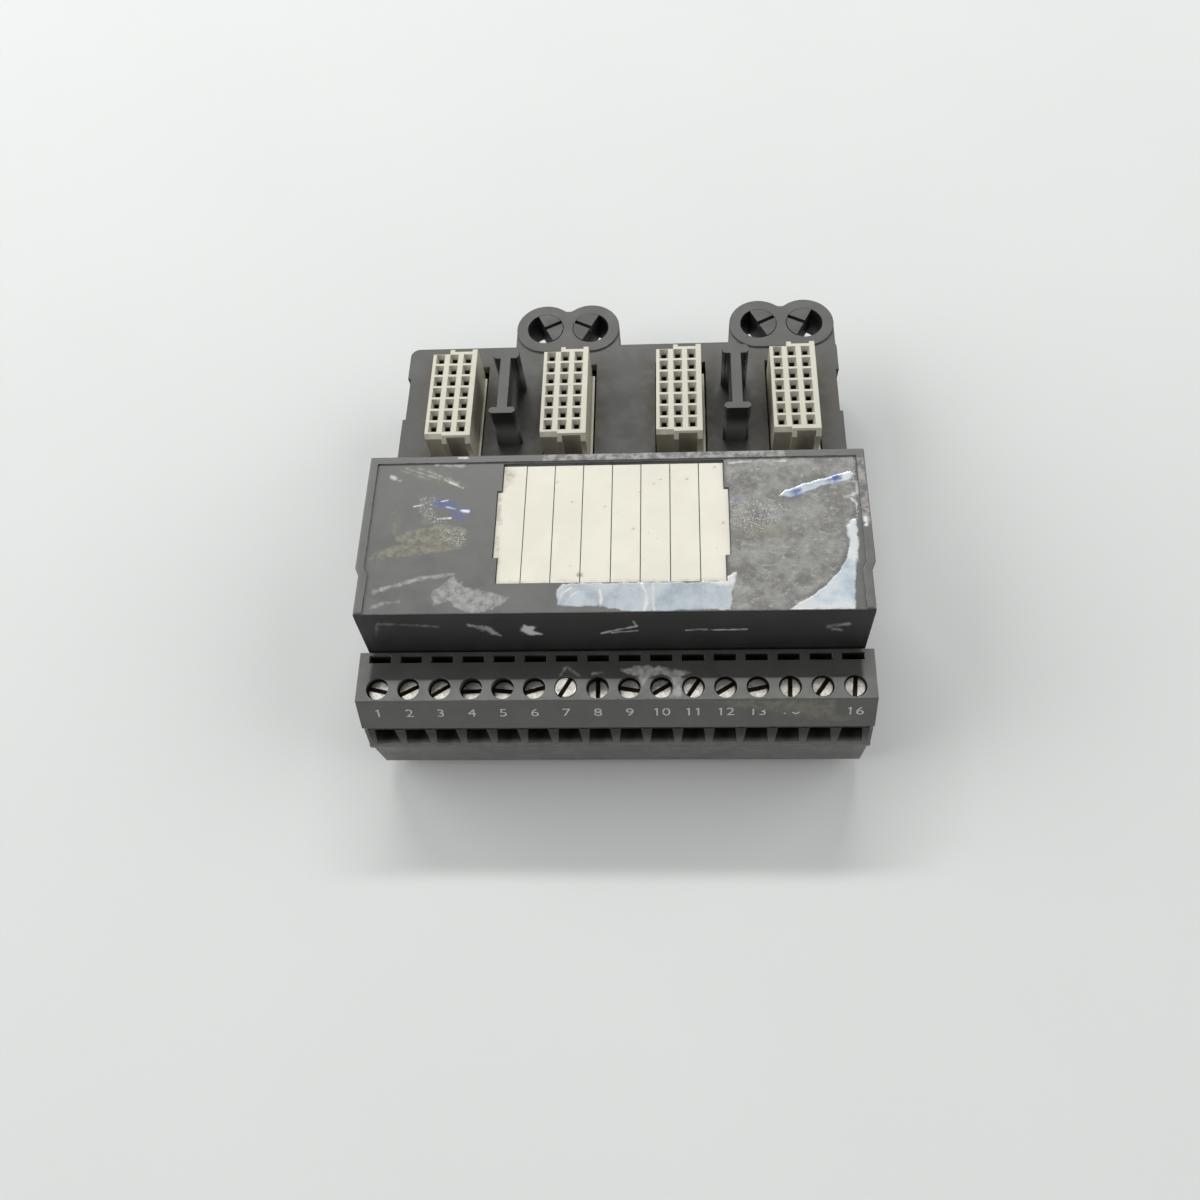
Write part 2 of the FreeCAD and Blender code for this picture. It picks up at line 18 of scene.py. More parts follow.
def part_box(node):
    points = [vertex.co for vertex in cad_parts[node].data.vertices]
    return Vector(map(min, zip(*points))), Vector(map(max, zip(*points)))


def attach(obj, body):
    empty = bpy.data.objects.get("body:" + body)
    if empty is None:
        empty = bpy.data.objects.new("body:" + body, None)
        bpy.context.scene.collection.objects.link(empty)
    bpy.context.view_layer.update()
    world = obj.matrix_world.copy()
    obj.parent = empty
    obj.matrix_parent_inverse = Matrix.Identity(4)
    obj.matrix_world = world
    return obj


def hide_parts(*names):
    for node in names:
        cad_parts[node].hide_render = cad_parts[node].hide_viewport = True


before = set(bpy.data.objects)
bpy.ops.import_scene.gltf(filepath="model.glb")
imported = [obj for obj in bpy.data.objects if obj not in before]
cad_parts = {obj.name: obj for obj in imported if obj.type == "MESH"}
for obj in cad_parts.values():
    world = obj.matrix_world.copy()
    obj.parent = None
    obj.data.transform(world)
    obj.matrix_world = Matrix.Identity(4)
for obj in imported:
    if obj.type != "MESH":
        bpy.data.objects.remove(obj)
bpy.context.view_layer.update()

LOG = logging.getLogger("terminal_block")
MM = 0.001
POLES = 16
POLE_PITCH = 5.08
PIN_PITCH = 2.54
SHOULDER_BACK = 4.4
FACE_DROP = 5.64
# Depth behind the strip's rear edge where the painted shadow of the cover ends.
SHADOW_LINE_DEPTH = 4.75
TAB_WIDTH = 0.75
TAB_NEAR = 4.6
TAB_LENGTH = 12.2
SOFT_BOX = (1.2, 0.9)

Colour = tuple[float, float, float]
Point = tuple[float, float]
Spot = tuple[float, float, float]
Stretch = tuple[Point, Point]
Mesh = bpy.types.Mesh
Node = bpy.types.Node
Socket = bpy.types.NodeSocket
Tree = bpy.types.NodeTree
Work = bmesh.types.BMesh
Ring = Sequence[bmesh.types.BMVert]
Feed = Union[Socket, float, tuple]
Layers = tuple[Feed, Feed, Feed]


def rgba(colour: Colour, gain: float = 1.0) -> tuple[float, float, float, float]:
    """Give a colour an alpha of one, brightened or darkened by a gain."""
    return (colour[0] * gain, colour[1] * gain, colour[2] * gain, 1.0)


def station(node: str) -> tuple[Vector, Vector]:
    """Lowest and highest corner of a CAD node in millimetres."""
    low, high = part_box(node)
    return low / MM, high / MM


class Graph:
    """Shorthand for wiring the nodes of one shader tree."""

    def __init__(self, tree: Tree) -> None:
        """Keep the tree that the nodes go into."""
        self.tree = tree

    def node(self, kind: str, **settings: object) -> Node:
        """Add a node.

        Args:
            kind: Blender's type name of the node.
            **settings: Properties to set on it.

        Returns:
            The new node.
        """
        made = self.tree.nodes.new(kind)
        for key, value in settings.items():
            setattr(made, key, value)
        return made

    def feed(self, socket: Socket, value: Feed) -> None:
        """Link a socket to another one, or set its value.

        Args:
            socket: The socket to feed.
            value: Another socket, or a plain value.
        """
        if isinstance(value, Socket):
            self.tree.links.new(value, socket)
        else:
            socket.default_value = value

    def fill(self, node: Node, inputs: dict[Union[int, str], Feed]) -> Node:
        """Feed several inputs of a node.

        Args:
            node: The node.
            inputs: Values or sockets for its inputs, by their names or numbers.

        Returns:
            The same node.
        """
        for key, value in inputs.items():
            self.feed(node.inputs[key], value)
        return node

    def math(self, operation: str, first: Feed, second: Feed = 0.0) -> Socket:
        """Result of one arithmetic step."""
        made = self.node("ShaderNodeMath", operation=operation)
        return self.fill(made, {0: first, 1: second}).outputs[0]

    def times(self, first: Feed, *others: Feed) -> Feed:
        """Product of several numbers.

        Args:
            first: The first number.
            *others: The numbers to multiply it by, one after the other.

        Returns:
            The socket with the product.
        """
        for other in others:
            first = self.math("MULTIPLY", first, other)
        return first

    def span(
            self, value: Feed, low: Feed, high: Feed, start: Feed = 0.0, end: Feed = 1.0) -> Socket:
        """Carry a value smoothly from one span to another.

        Args:
            value: The value to carry over.
            low: Where the first span starts.
            high: Where the first span ends.
            start: Result at and below the first span's start.
            end: Result at and above the first span's end.

        Returns:
            The socket with the result.
        """
        made = self.node("ShaderNodeMapRange", interpolation_type="SMOOTHSTEP")
        names = ("Value", "From Min", "From Max", "To Min", "To Max")
        return self.fill(made, dict(zip(names, (value, low, high, start, end)))).outputs["Result"]

    def fade(self, value: Feed, edge: float, reach: Point) -> Socket:
        """Mask that grows from the first distance off an edge to the second."""
        return self.span(value, edge + reach[0], edge + reach[1])

    def mix(self, factor: Feed, first: Feed, second: Feed) -> Socket:
        """Blend two colours."""
        made = self.node("ShaderNodeMix", data_type="RGBA")
        return self.fill(made, {0: factor, 6: first, 7: second}).outputs[2]

    def blend(self, factor: Feed, first: Feed, second: Feed) -> Socket:
        """Blend two numbers."""
        made = self.node("ShaderNodeMix", data_type="FLOAT")
        return self.fill(made, {0: factor, 2: first, 3: second}).outputs[0]

    def shade(self, factor: Feed, colour: Colour, gains: Point) -> Socket:
        """Vary a colour between two gains."""
        return self.mix(factor, rgba(colour, gains[0]), rgba(colour, gains[1]))

    def noise(self, where: Feed, scale: Feed, detail: float = 3.0, rough: float = 0.55) -> Socket:
        """Cloudy noise with so many features in a millimetre."""
        inputs = {"Vector": where, "Scale": scale, "Detail": detail, "Roughness": rough}
        return self.fill(self.node("ShaderNodeTexNoise"), inputs).outputs[0]

    def where(self) -> Socket:
        """Place on the piece, in millimetres.

        Returns:
            The socket with the place.
        """
        place = self.node("ShaderNodeTexCoord").outputs["Object"]
        scaled = self.node("ShaderNodeVectorMath", operation="SCALE")
        return self.fill(scaled, {0: place, "Scale": 1 / MM}).outputs[0]

    def axes(self, where: Feed) -> tuple[Socket, Socket, Socket]:
        """The three parts of a place."""
        made = self.fill(self.node("ShaderNodeSeparateXYZ"), {0: where})
        return made.outputs[0], made.outputs[1], made.outputs[2]

    def attribute(self, name: str) -> Socket:
        """Number that the mesh carries under this name."""
        return self.node("ShaderNodeAttribute", attribute_name=name).outputs["Fac"]

    def place(self, tree: Tree, **inputs: Feed) -> Node:
        """Place a shared effect, with values or sockets for its inputs."""
        return self.fill(self.node("ShaderNodeGroup", node_tree=tree), inputs)

    def bump(self, height: Feed, depth: float) -> Socket:
        """Normal of a surface whose height varies by so many millimetres."""
        inputs = {"Distance": depth * MM, "Height": height}
        return self.fill(self.node("ShaderNodeBump"), inputs).outputs["Normal"]

    def surface(self, shader: Node, tone: Feed, rough: Feed, height: Feed, depth: float) -> None:
        """Feed a shader's colour, roughness and normal.

        Args:
            shader: The shader.
            tone: Its base colour.
            rough: Its roughness.
            height: Height of the surface.
            depth: Millimetres that a height of one stands for.
        """
        normal = self.bump(height, depth)
        self.fill(shader, {"Base Color": tone, "Roughness": rough, "Normal": normal})

    def inside(self, where: Feed, low: Point, high: Point, soft: float) -> Feed:
        """Mask of an upright box seen in plan, with soft edges.

        Args:
            where: Place on the piece.
            low: Lowest X and Y.
            high: Highest X and Y.
            soft: Width of the fade.

        Returns:
            The socket with the mask.
        """
        sides = []
        for part, start, end in zip(self.axes(where), low, high):
            sides.append(self.fade(part, start, (-soft, soft)))
            sides.append(self.fade(part, end, (soft, -soft)))
        return self.times(*sides)


class Layer(Enum):
    """Kinds of residue that a painted sheet carries as numbers on its points."""

    GLUE = "glue"
    DULL = "dull"
    SCUFF = "scuff"
    FILM = "film"
    FLAKE = "flake"
    INK = "ink"
    # Specks of glittery residue painted light: painted glints.
    GLITTER = "glitter"


Painted = dict[Layer, np.ndarray]


class Effects:
    """Shader groups that several finishes share, each built once."""

    @staticmethod
    def group(
            name: str, inputs: dict[str, Feed], outputs: Sequence[str]) -> tuple[Graph, Node, Node]:
        """Start a shader group, whose sockets are numbers unless they are called Color.

        Args:
            name: Name of the group.
            inputs: Input names with their default values.
            outputs: Output names.

        Returns:
            The group's graph, its input node and its output node.
        """
        tree = bpy.data.node_groups.new(name, "ShaderNodeTree")
        ends = [("INPUT", label) for label in inputs] + [("OUTPUT", label) for label in outputs]
        for way, label in ends:
            kind = "NodeSocketColor" if label == "Color" else "NodeSocketFloat"
            socket = tree.interface.new_socket(label, in_out=way, socket_type=kind)
            if way == "INPUT":
                socket.default_value = inputs[label]
        graph = Graph(tree)
        return graph, graph.node("NodeGroupInput"), graph.node("NodeGroupOutput")

    @cached_property
    def grain(self) -> Tree:
        """Fine pitted grain of a moulded face, with broad mottling.

        Returns:
            The node group.
        """
        graph, given, out = self.group(
            "moulded_grain", {"Grain": 5.0, "Mottle": 0.25}, ("Height", "Mottle"))
        where = graph.where()
        fine = graph.noise(where, given.outputs["Grain"], 2.0, 0.6)
        broad = graph.noise(where, given.outputs["Mottle"], 5.0, 0.62)
        graph.fill(out, {"Height": fine, "Mottle": graph.span(broad, 0.3, 0.7)})
        return graph.tree

    @cached_property
    def edge_wear(self) -> Tree:
        """Paler patches along the rounded edges: partly rubbed wear, partly painted highlight.

        Returns:
            The node group.
        """
        graph, given, out = self.group("edge_wear", {"Amount": 0.5}, ("Wear",))
        patches = graph.noise(graph.where(), 0.8, 4.0, 0.6)
        low = graph.math("SUBTRACT", 0.78, graph.times(given.outputs["Amount"], 0.5))
        rubbed = graph.span(patches, low, graph.math("ADD", low, 0.18))
        graph.fill(out, {"Wear": graph.times(rubbed, graph.attribute("edge"))})
        return graph.tree

    @cached_property
    def dust(self) -> Tree:
        """How far a face looks up, and the clouds of dust that settled there.

        Returns:
            The node group.
        """
        graph, given, out = self.group("settled_dust", {"Amount": 0.3}, ("Level", "Dust"))
        normal = graph.node("ShaderNodeNewGeometry").outputs["Normal"]
        level = graph.span(graph.axes(normal)[2], 0.3, 0.92)
        cloud = graph.span(graph.noise(graph.where(), 0.3, 6.0, 0.68), 0.42, 0.72)
        dust = graph.times(level, cloud, given.outputs["Amount"])
        graph.fill(out, {"Level": level, "Dust": dust})
        return graph.tree

    @cached_property
    def turned(self) -> Tree:
        """Turning marks round a screw's own axis, and tarnish.

        Returns:
            The node group.
        """
        graph, _, out = self.group("turned_metal", {}, ("Height", "Tarnish"))
        where = graph.where()
        x, y, _ = graph.axes(where)
        radius = graph.math("SQRT", graph.math("ADD", graph.times(x, x), graph.times(y, y)))
        rings = graph.math("SINE", graph.times(radius, 38.0))
        nicks = graph.noise(where, 3.2, 4.0, 0.6)
        tarnish = graph.span(graph.noise(where, 0.9, 5.0, 0.65), 0.46, 0.78)
        height = graph.math("ADD", graph.times(rings, 0.25), nicks)
        graph.fill(out, {"Height": height, "Tarnish": tarnish})
        return graph.tree

    @cached_property
    def residue(self) -> Tree:
        """Glue, dull film, scuffs, clear tape, flakes and ink over a surface.

        Returns:
            The node group.
        """
        graph, given, out = self.group(
            "residue", {"Color": rgba((0.1, 0.1, 0.1)), "Roughness": 0.5},
            ("Color", "Roughness", "Height"))
        where = graph.where()
        along = graph.node("ShaderNodeVectorMath", operation="MULTIPLY")
        graph.fill(along, {0: where, 1: (0.8, 1.2, 1.0)})
        cloud = graph.noise(where, 0.3, 8.0, 0.68)
        streak = graph.noise(along.outputs[0], 1.3, 6.0, 0.68)
        crumbs = graph.noise(where, 2.2, 6.0, 0.66)
        clots = graph.noise(where, 0.9, 7.0, 0.66)
        specks = graph.noise(where, 3.6, 2.0, 0.5)
        tones = {
            Layer.DULL: (cloud, 0.36, 0.64, (0.165, 0.162, 0.15), (0.3, 0.298, 0.284)),
            Layer.GLUE: (clots, 0.34, 0.66, (0.15, 0.143, 0.108), (0.27, 0.26, 0.205)),
            Layer.SCUFF: (clots, 0.34, 0.66, (0.24, 0.242, 0.235), (0.44, 0.44, 0.43)),
            Layer.FILM: (cloud, 0.38, 0.62, (0.54, 0.62, 0.69), (0.69, 0.75, 0.79)),
        }
        mixed = {
            layer: graph.mix(graph.span(spots, low, high), rgba(dark), rgba(light))
            for layer, (spots, low, high, dark, light) in tones.items()}
        smeared = graph.mix(
            graph.span(streak, 0.5, 0.72), mixed[Layer.DULL], rgba((0.4, 0.398, 0.385)))
        marks = (
            (Layer.DULL, 1.0, smeared, 0.6),
            (Layer.GLUE, graph.span(clots, 0.2, 0.5, 0.45, 1.0), mixed[Layer.GLUE], 0.58),
            (Layer.SCUFF, graph.span(clots, 0.25, 0.5, 0.5, 1.0), mixed[Layer.SCUFF], 0.6),
            (Layer.FILM, graph.span(cloud, 0.25, 0.5, 0.75, 1.0), mixed[Layer.FILM], 0.16),
            (Layer.INK, graph.span(streak, 0.25, 0.45), rgba((0.055, 0.11, 0.34)), 0.35),
            # Painted glints: light specks in the glittery residue.
            (Layer.GLITTER, graph.span(specks, 0.54, 0.63), rgba((0.46, 0.46, 0.44)), 0.3),
            (Layer.FLAKE, graph.span(crumbs, 0.26, 0.42), rgba((0.8, 0.8, 0.79)), 0.3),
        )
        colour, rough = given.outputs["Color"], given.outputs["Roughness"]
        height = graph.times(crumbs, 0.3)
        for layer, breakup, tone, gloss in marks:
            mask = graph.times(graph.attribute(layer.value), breakup)
            colour = graph.mix(mask, colour, tone)
            rough = graph.blend(mask, rough, gloss)
            if layer in (Layer.GLUE, Layer.FILM, Layer.FLAKE):
                height = graph.math("ADD", height, mask)
        graph.fill(out, {"Color": colour, "Roughness": rough, "Height": height})
        return graph.tree


EFFECTS = Effects()


@dataclass(frozen=True)
class Finish:
    """Surface finish that becomes one Blender material."""

    name: str

    def material(self) -> bpy.types.Material:
        """The finish's material, made at its first use.

        Returns:
            The material.
        """
        found = bpy.data.materials.get(self.name)
        if found:
            return found
        made = bpy.data.materials.new(self.name)
        made.use_nodes = True
        self.wire(Graph(made.node_tree), made.node_tree.nodes["Principled BSDF"])
        return made

    def wire(self, graph: Graph, shader: Node) -> None:
        """Wire the finish into its shader."""
        raise NotImplementedError


@dataclass(frozen=True)
class MouldedPlastic(Finish):
    """Fine-grained moulding: upward faces painted lighter (settled dust and painted sheen), edges
    painted paler (rubbed wear and painted highlight), and dust.

    Upper faces behind the shadow line take the shadow colour, a painted shadow of the cover, except
    beyond the cover's ends.
    """

    # Sides take colour and upward faces take upper: the lighter upper tone is partly settled dust,
    # partly painted sheen from the light above.
    colour: Colour = (0.015, 0.015, 0.0145)
    upper: Colour = (0.138, 0.139, 0.134)
    spread: float = 0.1
    roughness: float = 0.45
    rough_swing: float = 0.07
    grain: float = 5.0
    mottle: float = 0.22
    depth: float = 0.012
    # Paler rounded edges: partly rubbed wear, partly painted highlight along the edges.
    wear: float = 0.45
    worn: Colour = (0.2, 0.198, 0.19)
    dust: float = 0.16
    dusty: Colour = (0.14, 0.134, 0.116)
    # Painted shadow that the cover casts on the strip's rear shelf: where it starts, how soft and
    # strong it is, where it stops at the sides, and its colour.
    sheltered: Optional[float] = None
    shelter_soft: float = 0.15
    shelter_share: float = 0.9
    covered: float = 39.4
    covered_fade: Point = (0.4, -0.4)
    hidden: Colour = (0.028, 0.028, 0.027)

    def layers(self, graph: Graph) -> Layers:
        """Lay grain, rubbed edges and dust over the plain colours.

        Args:
            graph: Graph of the material.

        Returns:
            Colour, roughness and height of the surface.
        """
        grain = graph.place(EFFECTS.grain, Grain=self.grain, Mottle=self.mottle)
        mottle = grain.outputs["Mottle"]
        dust = graph.place(EFFECTS.dust, Amount=self.dust)
        level = dust.outputs["Level"]
        # Painted sheen: upward faces blend towards the lighter upper colour, partly dust and partly
        # light.
        shades = [
            graph.mix(level, rgba(self.colour, gain), rgba(self.upper, gain))
            for gain in (1 - self.spread, 1 + self.spread)]
        tone = graph.mix(mottle, *shades)
        wear = graph.place(EFFECTS.edge_wear, Amount=self.wear).outputs["Wear"]
        tone = graph.mix(wear, tone, rgba(self.worn))
        tone = graph.mix(dust.outputs["Dust"], tone, rgba(self.dusty))
        # Painted shadow of the cover over the upward faces behind the shadow line.
        if self.sheltered is not None:
            x, y, _ = graph.axes(graph.where())
            start, end = self.sheltered - self.shelter_soft, self.sheltered + self.shelter_soft
            band = graph.span(y, start, end, 0.0, self.shelter_share)
            ends = graph.fade(graph.math("ABSOLUTE", x), self.covered, self.covered_fade)
            tone = graph.mix(graph.times(band, ends, level), tone, rgba(self.hidden))
        smooth, dull = self.roughness - self.rough_swing, self.roughness + self.rough_swing
        return tone, graph.span(mottle, 0.0, 1.0, smooth, dull), grain.outputs["Height"]

    def wire(self, graph: Graph, shader: Node) -> None:
        """Feed the layers to the shader."""
        graph.surface(shader, *self.layers(graph), self.depth)


@dataclass(frozen=True)
class StainedPlastic(MouldedPlastic):
    """Moulding under the residue that its sheet carries."""

    relief: float = 0.02
    grain_share: float = 0.6
    tape_roughness: float = 0.08

    def wire(self, graph: Graph, shader: Node) -> None:
        """Lay the residue over the moulding, and a gloss coat over the tape.

        Args:
            graph: Graph of the material.
            shader: The material's shader.
        """
        tone, rough, height = self.layers(graph)
        stain = graph.place(EFFECTS.residue, Color=tone, Roughness=rough).outputs
        both = graph.math("ADD", graph.times(height, self.grain_share), stain["Height"])
        graph.surface(shader, stain["Color"], stain["Roughness"], both, self.relief)
        graph.feed(shader.inputs["Coat Weight"], graph.attribute(Layer.FILM.value))
        shader.inputs["Coat Roughness"].default_value = self.tape_roughness


@dataclass(frozen=True)
class GrimyPlate(MouldedPlastic):
    """Moulding with olive grime round a row of sockets."""

    grime: Colour = (0.1, 0.09, 0.066)
    first: Point = (0.0, 0.0)
    spacing: float = 20.0
    half: Point = (5.0, 10.0)
    reach: Point = (5.0, 0.2)
    share: float = 0.85
    dull: float = 0.72

    def layers(self, graph: Graph) -> Layers:
        """Add the grime to the moulding's layers.

        Args:
            graph: Graph of the material.

        Returns:
            Colour, roughness and height of the surface.
        """
        tone, rough, height = super().layers(graph)
        where = graph.where()
        x, y, _ = graph.axes(where)
        swing = graph.math("PINGPONG", graph.math("SUBTRACT", x, self.first[0]), self.spacing / 2)
        aside = graph.math("SUBTRACT", swing, self.half[0])
        ahead = graph.math("ABSOLUTE", graph.math("SUBTRACT", y, self.first[1]))
        gap = graph.math("MAXIMUM", aside, graph.math("SUBTRACT", ahead, self.half[1]))
        patchy = graph.span(graph.noise(where, 0.35, 6.0, 0.66), 0.36, 0.6)
        mask = graph.times(graph.span(gap, *self.reach), patchy, self.share)
        return graph.mix(mask, tone, rgba(self.grime)), graph.blend(mask, rough, self.dull), height


@dataclass(frozen=True)
class RubbedFront(MouldedPlastic):
    """Moulding painted lighter grey towards its front: painted light from the floor below."""

    front: float = 0.0
    reach: Point = (3.0, 1.0)
    # Grey of the painted floor light on the front.
    rubbed: Colour = (0.14, 0.142, 0.131)

    def layers(self, graph: Graph) -> Layers:
        """Add the painted floor light at the front to the moulding's layers.

        Args:
            graph: Graph of the material.

        Returns:
            Colour, roughness and height of the surface.
        """
        tone, rough, height = super().layers(graph)
        where = graph.where()
        near = graph.fade(graph.axes(where)[1], self.front, self.reach)
        cloud = graph.span(graph.noise(where, 0.25, 5.0, 0.6), 0.25, 0.55, 0.8, 1.0)
        return graph.mix(graph.times(near, cloud), tone, rgba(self.rubbed)), rough, height


@dataclass(frozen=True)
class StripPlastic(MouldedPlastic):
    """Moulding painted darker inside its bores, slots and wire entries: painted shade in these
    recesses.

    Each reach says how far from its face the painted shade starts, and where it is full.
    """

    half: float = 40.0
    half_reach: Point = (-0.4, -0.7)
    crown: float = 0.0
    crown_reach: Point = (-0.4, -0.9)
    shoulder: float = 0.0
    shoulder_reach: Point = (0.1, 0.5)
    ledge: float = 0.0
    ledge_reach: Point = (0.1, -0.3)
    front: float = 0.0
    front_reach: Point = (0.3, 1.5)
    # Colour of the painted shade deep in the recesses.
    inner: Colour = (0.014, 0.014, 0.013)

    def layers(self, graph: Graph) -> Layers:
        """Paint shade over what lies behind the strip's outer faces.

        Args:
            graph: Graph of the material.

        Returns:
            Colour, roughness and height of the surface.
        """
        tone, rough, height = super().layers(graph)
        x, y, z = graph.axes(graph.where())
        # Painted shade in the bores and slots and in the wire entries, left off at the strip's
        # ends.
        bores = graph.times(
            graph.fade(y, self.shoulder, self.shoulder_reach),
            graph.fade(z, self.crown, self.crown_reach))
        entries = graph.times(
            graph.fade(z, self.ledge, self.ledge_reach),
            graph.fade(y, self.front, self.front_reach))
        ends = graph.fade(graph.math("ABSOLUTE", x), self.half, self.half_reach)
        mask = graph.times(graph.math("MAXIMUM", bores, entries), ends)
        return graph.mix(mask, tone, rgba(self.inner)), rough, height


@dataclass(frozen=True)
class SocketPlastic(MouldedPlastic):
    """Pale moulding that turns dark brown in its pin holes: dirt on the funnel walls, painted shade
    deeper down.
    """

    level: float = 25.2
    clear: float = 0.8
    fade: float = 1.0
    rim_share: float = 0.78
    # Dark brown of the dirt on the funnel walls and of the painted shade deep in the holes.
    deep: Colour = (0.03, 0.024, 0.016)

    def layers(self, graph: Graph) -> Layers:
        """Add the dirt and the painted shade in the holes to the moulding's layers.

        Args:
            graph: Graph of the material.

        Returns:
            Colour, roughness and height of the surface.
        """
        tone, rough, height = super().layers(graph)
        start = self.level - self.clear
        depth = graph.axes(graph.where())[2]
        sunk = graph.span(depth, start - self.fade, start, 1.0, self.rim_share)
        mask = graph.times(sunk, graph.attribute("deep"))
        return graph.mix(mask, tone, rgba(self.deep)), rough, height


@dataclass(frozen=True)
class WornLip(MouldedPlastic):
    """Moulding whose lips are rubbed pale over some stretches and carry flakes on others."""

    rubbed: tuple[Stretch, ...] = ()
    flaked: tuple[Stretch, ...] = ()
    level: float = 0.0
    soft: float = 0.2
    pale: Colour = (0.34, 0.335, 0.325)
    white: Colour = (0.74, 0.74, 0.73)

    def layers(self, graph: Graph) -> Layers:
        """Add the rubbed stretches and the flakes to the moulding's layers.

        Args:
            graph: Graph of the material.

        Returns:
            Colour, roughness and height of the surface.
        """
        tone, rough, height = super().layers(graph)
        where = graph.where()
        top = graph.fade(graph.axes(where)[2], self.level, (-self.soft, 0.0))
        clots = graph.noise(where, 0.7, 5.0, 0.65)
        for boxes, colour, breakup in (
                (self.rubbed, self.pale, graph.span(clots, 0.4, 0.6)),
                (self.flaked, self.white, graph.span(clots, 0.36, 0.5))):
            for low, high in boxes:
                mask = graph.times(graph.inside(where, low, high, self.soft), top, breakup)
                tone = graph.mix(mask, tone, rgba(colour))
        return tone, rough, height


@dataclass(frozen=True)
class PlatedMetal(Finish):
    """Turned and plated metal with tarnish."""

    colour: Colour = (0.95, 0.918, 0.835)
    tarnish: Colour = (0.19, 0.15, 0.1)
    roughness: float = 0.36
    dulled: float = 0.1
    depth: float = 0.014

    def wire(self, graph: Graph, shader: Node) -> None:
        """Metal with turning marks.

        Args:
            graph: Graph of the material.
            shader: The material's shader.
        """
        turned = graph.place(EFFECTS.turned).outputs
        stain = turned["Tarnish"]
        tone = graph.mix(stain, rgba(self.colour), rgba(self.tarnish))
        rough = graph.span(stain, 0.0, 1.0, self.roughness, self.roughness + self.dulled)
        graph.surface(shader, tone, rough, turned["Height"], self.depth)
        shader.inputs["Metallic"].default_value = 1.0


@dataclass(frozen=True)
class SlotGrime(Finish):
    """Dark packed dirt in a screw's slot."""

    colour: Colour = (0.045, 0.032, 0.02)
    gains: Point = (0.5, 1.8)
    roughness: Point = (0.6, 0.9)
    depth: float = 0.05

    def wire(self, graph: Graph, shader: Node) -> None:
        """Rough crumbs of dirt.

        Args:
            graph: Graph of the material.
            shader: The material's shader.
        """
        crumbs = graph.noise(graph.where(), 2.6, 5.0, 0.65)
        tone = graph.shade(crumbs, self.colour, self.gains)
        rough = graph.span(crumbs, 0.2, 0.8, *self.roughness)
        graph.surface(shader, tone, rough, crumbs, self.depth)


@dataclass(frozen=True)
class CardStock(Finish):
    """Cream card with fibres, specks and dirty edges."""

    colour: Colour = (0.82, 0.795, 0.69)
    gains: Point = (0.955, 1.02)
    stain: Colour = (0.33, 0.26, 0.16)
    speck: Colour = (0.3, 0.24, 0.17)
    dot_share: float = 0.5
    roughness: Point = (0.66, 0.84)
    depth: float = 0.01

    def wire(self, graph: Graph, shader: Node) -> None:
        """Fibres in the surface, stains from the sheet's numbers.

        Args:
            graph: Graph of the material.
            shader: The material's shader.
        """
        where = graph.where()
        cloud = graph.noise(where, 0.14, 5.0, 0.6)
        fibre = graph.noise(where, 4.5, 3.0, 0.6)
        clots = graph.noise(where, 0.8, 5.0, 0.65)
        dots = graph.span(graph.noise(where, 1.7, 2.0, 0.5), 0.74, 0.78)
        dirt = graph.times(graph.attribute(Layer.GLUE.value), graph.span(clots, 0.3, 0.6))
        specks = graph.times(graph.attribute(Layer.INK.value), graph.span(fibre, 0.3, 0.5))
        tone = graph.shade(graph.span(cloud, 0.3, 0.7), self.colour, self.gains)
        tone = graph.mix(dirt, tone, rgba(self.stain))
        tone = graph.mix(specks, tone, rgba(self.speck))
        tone = graph.mix(graph.times(dots, self.dot_share), tone, rgba(self.speck))
        graph.surface(shader, tone, graph.span(fibre, 0.2, 0.8, *self.roughness), fibre, self.depth)


@dataclass(frozen=True)
class PrintedPaint(Finish):
    """Pale printed numbers, thin and chipped."""

    colour: Colour = (0.62, 0.62, 0.61)
    chipped: Colour = (0.12, 0.12, 0.115)
    roughness: Point = (0.5, 0.65)
    depth: float = -0.008

    def wire(self, graph: Graph, shader: Node) -> None:
        """Paint that shows the moulding through its chips.

        Args:
            graph: Graph of the material.
            shader: The material's shader.
        """
        chips = graph.span(graph.noise(graph.where(), 2.2, 4.0, 0.6), 0.6, 0.72)
        tone = graph.mix(chips, rgba(self.colour), rgba(self.chipped))
        graph.surface(shader, tone, graph.span(chips, 0.0, 1.0, *self.roughness), chips, self.depth)


@dataclass(frozen=True)
class BoardResin(Finish):
    """Green lacquer over woven glass resin."""

    colour: Colour = (0.035, 0.11, 0.05)
    gains: Point = (0.7, 1.3)
    threads: float = 9.0
    roughness: Point = (0.3, 0.45)
    depth: float = 0.01

    def wire(self, graph: Graph, shader: Node) -> None:
        """Lacquer with the weave faintly raised.

        Args:
            graph: Graph of the material.
            shader: The material's shader.
        """
        where = graph.where()
        x, y, _ = graph.axes(where)
        weave = graph.times(
            *(graph.math("SINE", graph.times(way, self.threads)) for way in (x, y)))
        cloud = graph.noise(where, 0.3, 4.0, 0.6)
        tone = graph.shade(cloud, self.colour, self.gains)
        graph.surface(shader, tone, graph.span(cloud, 0.3, 0.7, *self.roughness), weave, self.depth)


@dataclass(frozen=True)
class FloorFoam(Finish):
    """Plain pale floor."""

    colour: Colour = (0.73, 0.745, 0.74)
    gains: Point = (0.98, 1.02)
    roughness: float = 0.8

    def wire(self, graph: Graph, shader: Node) -> None:
        """Even pale surface with a very faint cloud.

        Args:
            graph: Graph of the material.
            shader: The material's shader.
        """
        cloud = graph.noise(graph.where(), 0.02, 3.0, 0.5)
        graph.feed(shader.inputs["Base Color"], graph.shade(cloud, self.colour, self.gains))
        shader.inputs["Roughness"].default_value = self.roughness


